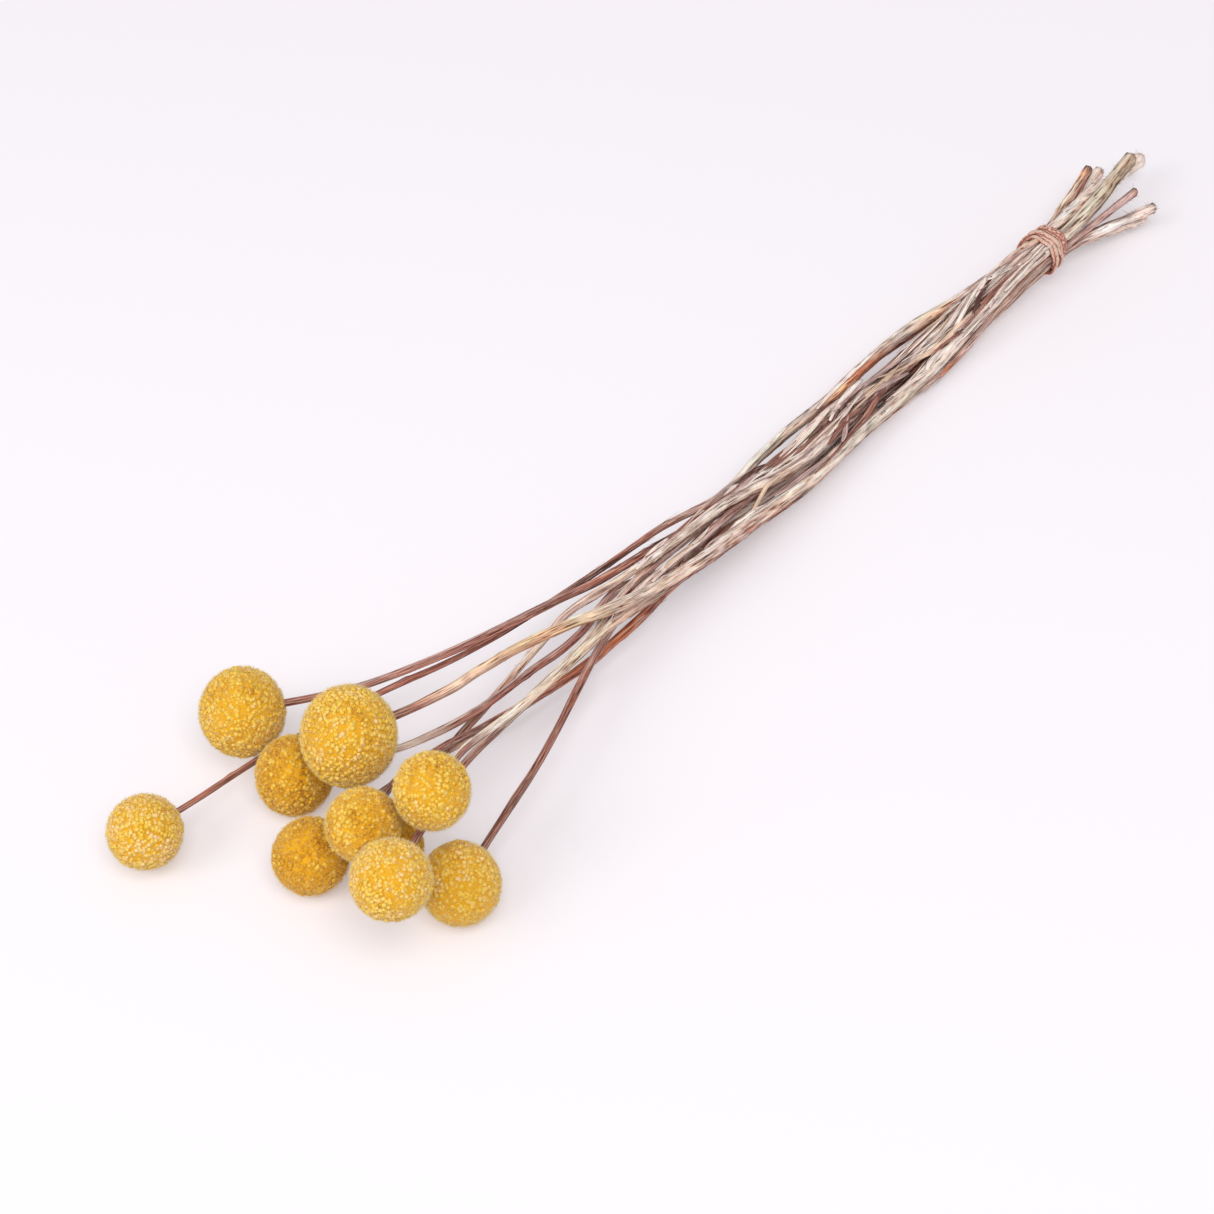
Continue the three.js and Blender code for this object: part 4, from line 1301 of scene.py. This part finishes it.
def strand_shape(random):
    """One strand of dry leaf over the bundle."""
    width = random.uniform(*STRAND_WIDTH)
    thick = STRAND_THICK[0] + STRAND_THICK[1] * width
    path, share = strand_path(thick, random)
    along = unit(np.gradient(path, axis=0))
    side = unit(np.cross(UP, along))
    out = np.cross(along, side)
    taper = (np.sin(math.pi * (STRAND_TAPER[0] + STRAND_TAPER[1] * share)) ** 0.5)[:, None]
    roll = random.uniform(-STRAND_ROLL, STRAND_ROLL)
    flat = (side * math.cos(roll) + out * math.sin(roll)) * width / 2 * taper
    tall = (out * math.cos(roll) - side * math.sin(roll)) * thick / 2 * taper
    half_round = [flat, (flat + 2 * tall) / SIDE_CORNERS, (2 * tall - flat) / SIDE_CORNERS]
    corners = half_round + [-corner for corner in half_round]
    sides = len(corners)
    own = tone_of(str(random.choice(LOOSE_TONES))) * random.uniform(*STRAND_BRIGHTNESS)
    x = path[:, 0]
    grain = tube_grain(np.arange(sides) / sides * FULL_TURN, x + x[0] * GRAIN_APART).reshape(-1, 3)
    mottle = 1 + MOTTLE * streaks(grain, *MOTTLE_HILLS, MOTTLE_SEED)[:, None]
    return {
        "points": (path[:, None] + np.stack(corners, axis=1)).reshape(-1, 3),
        "triangles": tube_faces(len(path), sides),
        "skin": np.clip(own * mottle, DARKEST, 1),
        "grain": grain,
        "wool": np.zeros(len(grain)),
    }


random = np.random.default_rng(70)
strands = join_shapes([strand_shape(random) for _ in range(STRANDS)])
make_piece("dry_leaf_strands", strands, stem_finish, "dry_stem")

# %% [markdown]
# ## The rubber band
# One loop of rubber goes five times round the stems. Five separate rings would be simpler, but a real band
# can be followed round and round. Its windings are pulled straight over the hollows between the stems, so
# they follow the outline that a taut thread would take. The loop drifts from side to side as it goes round,
# so the windings cross, and where one crosses another it rides over it.

# %% The path of the rubber band
WINDINGS = 5
TURN_POINTS = 96
BAND_WIDTH = 2.1
BAND_THICKNESS = 1.05
DRIFT_WAVES = ((0.76, 2, 0.0), (0.12, 3, 1.0), (0.12, 8, 2.0))  # size, waves in the whole loop, start
FACINGS = 180
GLANCING = 0.05

band_low, band_high = (np.array(corner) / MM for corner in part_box("rubber_band"))
band_x = (band_low[0] + band_high[0]) / 2
band_half = (band_high[0] - band_low[0]) / 2 - BAND_WIDTH / 2


def taut_reach(x, turn):
    """The bunch's middle at x, and how far from it a taut thread passes at each turn round it."""
    cut = np.array([line_at(line, x) for line in stem_lines.values()])
    middle = cut[:, :2].mean(axis=0)
    facing = np.linspace(0, FULL_TURN, FACINGS, endpoint=False)
    normal = np.column_stack((np.cos(facing), np.sin(facing)))
    wall = ((cut[:, :2] - middle) @ normal.T + cut[:, 2:]).max(axis=0)
    slope = np.cos(turn[:, None] - facing)
    return middle, np.where(slope > GLANCING, wall / np.maximum(slope, GLANCING), np.inf).min(axis=1)


steps = WINDINGS * TURN_POINTS
turn = np.arange(steps) / TURN_POINTS * FULL_TURN
drift = sum(size * np.cos(turn * waves / WINDINGS + start) for size, waves, start in DRIFT_WAVES)
band_place = band_x + band_half * drift
middle, reach_low = taut_reach(band_x - band_half, turn[:TURN_POINTS])
_, reach_high = taut_reach(band_x + band_half, turn[:TURN_POINTS])
share = (drift + 1) / 2
reach = np.tile(reach_low, WINDINGS) * (1 - share) + np.tile(reach_high, WINDINGS) * share
print("the band passes", reach.min().round(1), "to", reach.max().round(1), "mm from the bunch's middle")

# %% Windings that ride over one another
ride = np.zeros(steps)
for step in range(TURN_POINTS, steps):
    for under in range(step - TURN_POINTS, -1, -TURN_POINTS):
        gap = abs(band_place[step] - band_place[under]) / BAND_WIDTH
        if gap < 1:
            ride[step] = max(ride[step], ride[under] + BAND_THICKNESS * (1 - gap**2))
print("the band rides up to", round(float(ride.max()), 2), "mm over itself")

# %% [markdown]
# ## Sweeping the rubber band
# A rubber band is cut from a thin tube of rubber, so it is flat in section, and its edges soften with age.
# A curve with a bevel would give it the same section all the way. So the loop is swept here by hand, with a
# flattened round section that is wider where the loop lies to one side, and a little uneven all along.

# %% Sweeping the rubber band
BAND_SIDES = 12
SMOOTH_PASSES = 3
THICK_FROM = 0.35
THICK_OVER = 0.4
THIN_WIDTH = 0.9
THICK_GAIN = 0.55
SQUARENESS = 0.8
UNEVEN = 0.06
UNEVEN_TO_TURN = 9
UNEVEN_SEED = 5
DUST_AND_HIGHLIGHT_ON_THIN = 1.2
DUST_AND_HIGHLIGHT_LOSS = 0.9


def squared(wave):
    """A wave from -1 to 1 that stays near its ends for longer, which flattens a round section."""
    return np.sign(wave) * np.abs(wave) ** SQUARENESS


band_out = np.column_stack((np.zeros(steps), np.cos(turn), np.sin(turn)))
spine = np.column_stack((band_place, np.full((steps, 2), middle)))
spine = spine + band_out * (reach + ride + BAND_THICKNESS / 2)[:, None]
for _ in range(SMOOTH_PASSES):
    spine = (np.roll(spine, 1, axis=0) + 2 * spine + np.roll(spine, -1, axis=0)) / 4
band_along = unit(np.roll(spine, -1, axis=0) - np.roll(spine, 1, axis=0))
band_side = unit(np.cross(band_along, band_out))
band_out = np.cross(band_side, band_along)

band_turn = np.arange(BAND_SIDES) / BAND_SIDES * FULL_TURN
thick_part = np.clip((drift - THICK_FROM) / THICK_OVER, 0, 1)
uneven = 1 + UNEVEN * ripple(np.outer(turn * UNEVEN_TO_TURN, (1, 0, 0)), UNEVEN_SEED)
half_width = BAND_WIDTH * (THIN_WIDTH + THICK_GAIN * thick_part) * uneven / 2
flat = band_side[:, None] * half_width[:, None, None] * squared(np.cos(band_turn))[:, None]
tall = band_out[:, None] * (BAND_THICKNESS / 2) * squared(np.sin(band_turn))[:, None]
# the paler tops of the windings: partly dust and partly painted highlight, less on the thick part
dust_and_highlight = np.clip(np.sin(band_turn), 0, 1) * (DUST_AND_HIGHLIGHT_ON_THIN - DUST_AND_HIGHLIGHT_LOSS * thick_part)[:, None]
band_shape = {
    "points": (spine[:, None] + flat + tall).reshape(-1, 3),
    "triangles": tube_faces(steps, BAND_SIDES, looped=True),
    "grain": tube_grain(band_turn, turn * UNEVEN_TO_TURN).reshape(-1, 3),
    "crown": dust_and_highlight.ravel(),
}
print("the band is", (2 * half_width.min()).round(1), "to", (2 * half_width.max()).round(1), "mm wide")

# %% [markdown]
# ## The finish of the rubber band
# Old rubber turns dull. The tops of the windings are paler, partly a pale dust of dried rubber and partly a
# painted highlight. Dust painted by hand would look the same, but it would be lost whenever the band is
# swept again. So `crown` marks the tops, and noise along the grain breaks the pale tops up.

# %% The finish of the rubber band
BAND_DARK = srgb(146, 74, 60)
BAND_TONE = srgb(184, 112, 92)
BAND_DUST_AND_HIGHLIGHT = srgb(232, 204, 184)

band_finish, tone, shader = new_finish("dust_and_highlight_rubber", 0.62)
grime = tone.carried("grain", "Vector").stretched((1.2, 1.2, 0.5)).noise(2.0, 4.0)
# the pale tops: partly dust and partly painted highlight, broken up by the noise
bloom_and_highlight = (tone.carried("crown") * 0.8 + (grime - 0.5) * 3.2).rise(0.1, 0.8)
rubber = grime.rise(0.3, 0.6).mix(BAND_DARK, BAND_TONE)
link_finish((bloom_and_highlight * 0.8).mix(rubber, BAND_DUST_AND_HIGHLIGHT), shader, "Base Color")
link_finish(grime.bump(0.4, RELIEF), shader, "Normal")
make_piece("tie_band", band_shape, band_finish, "band_rubber", "rubber_band")

# %% [markdown]
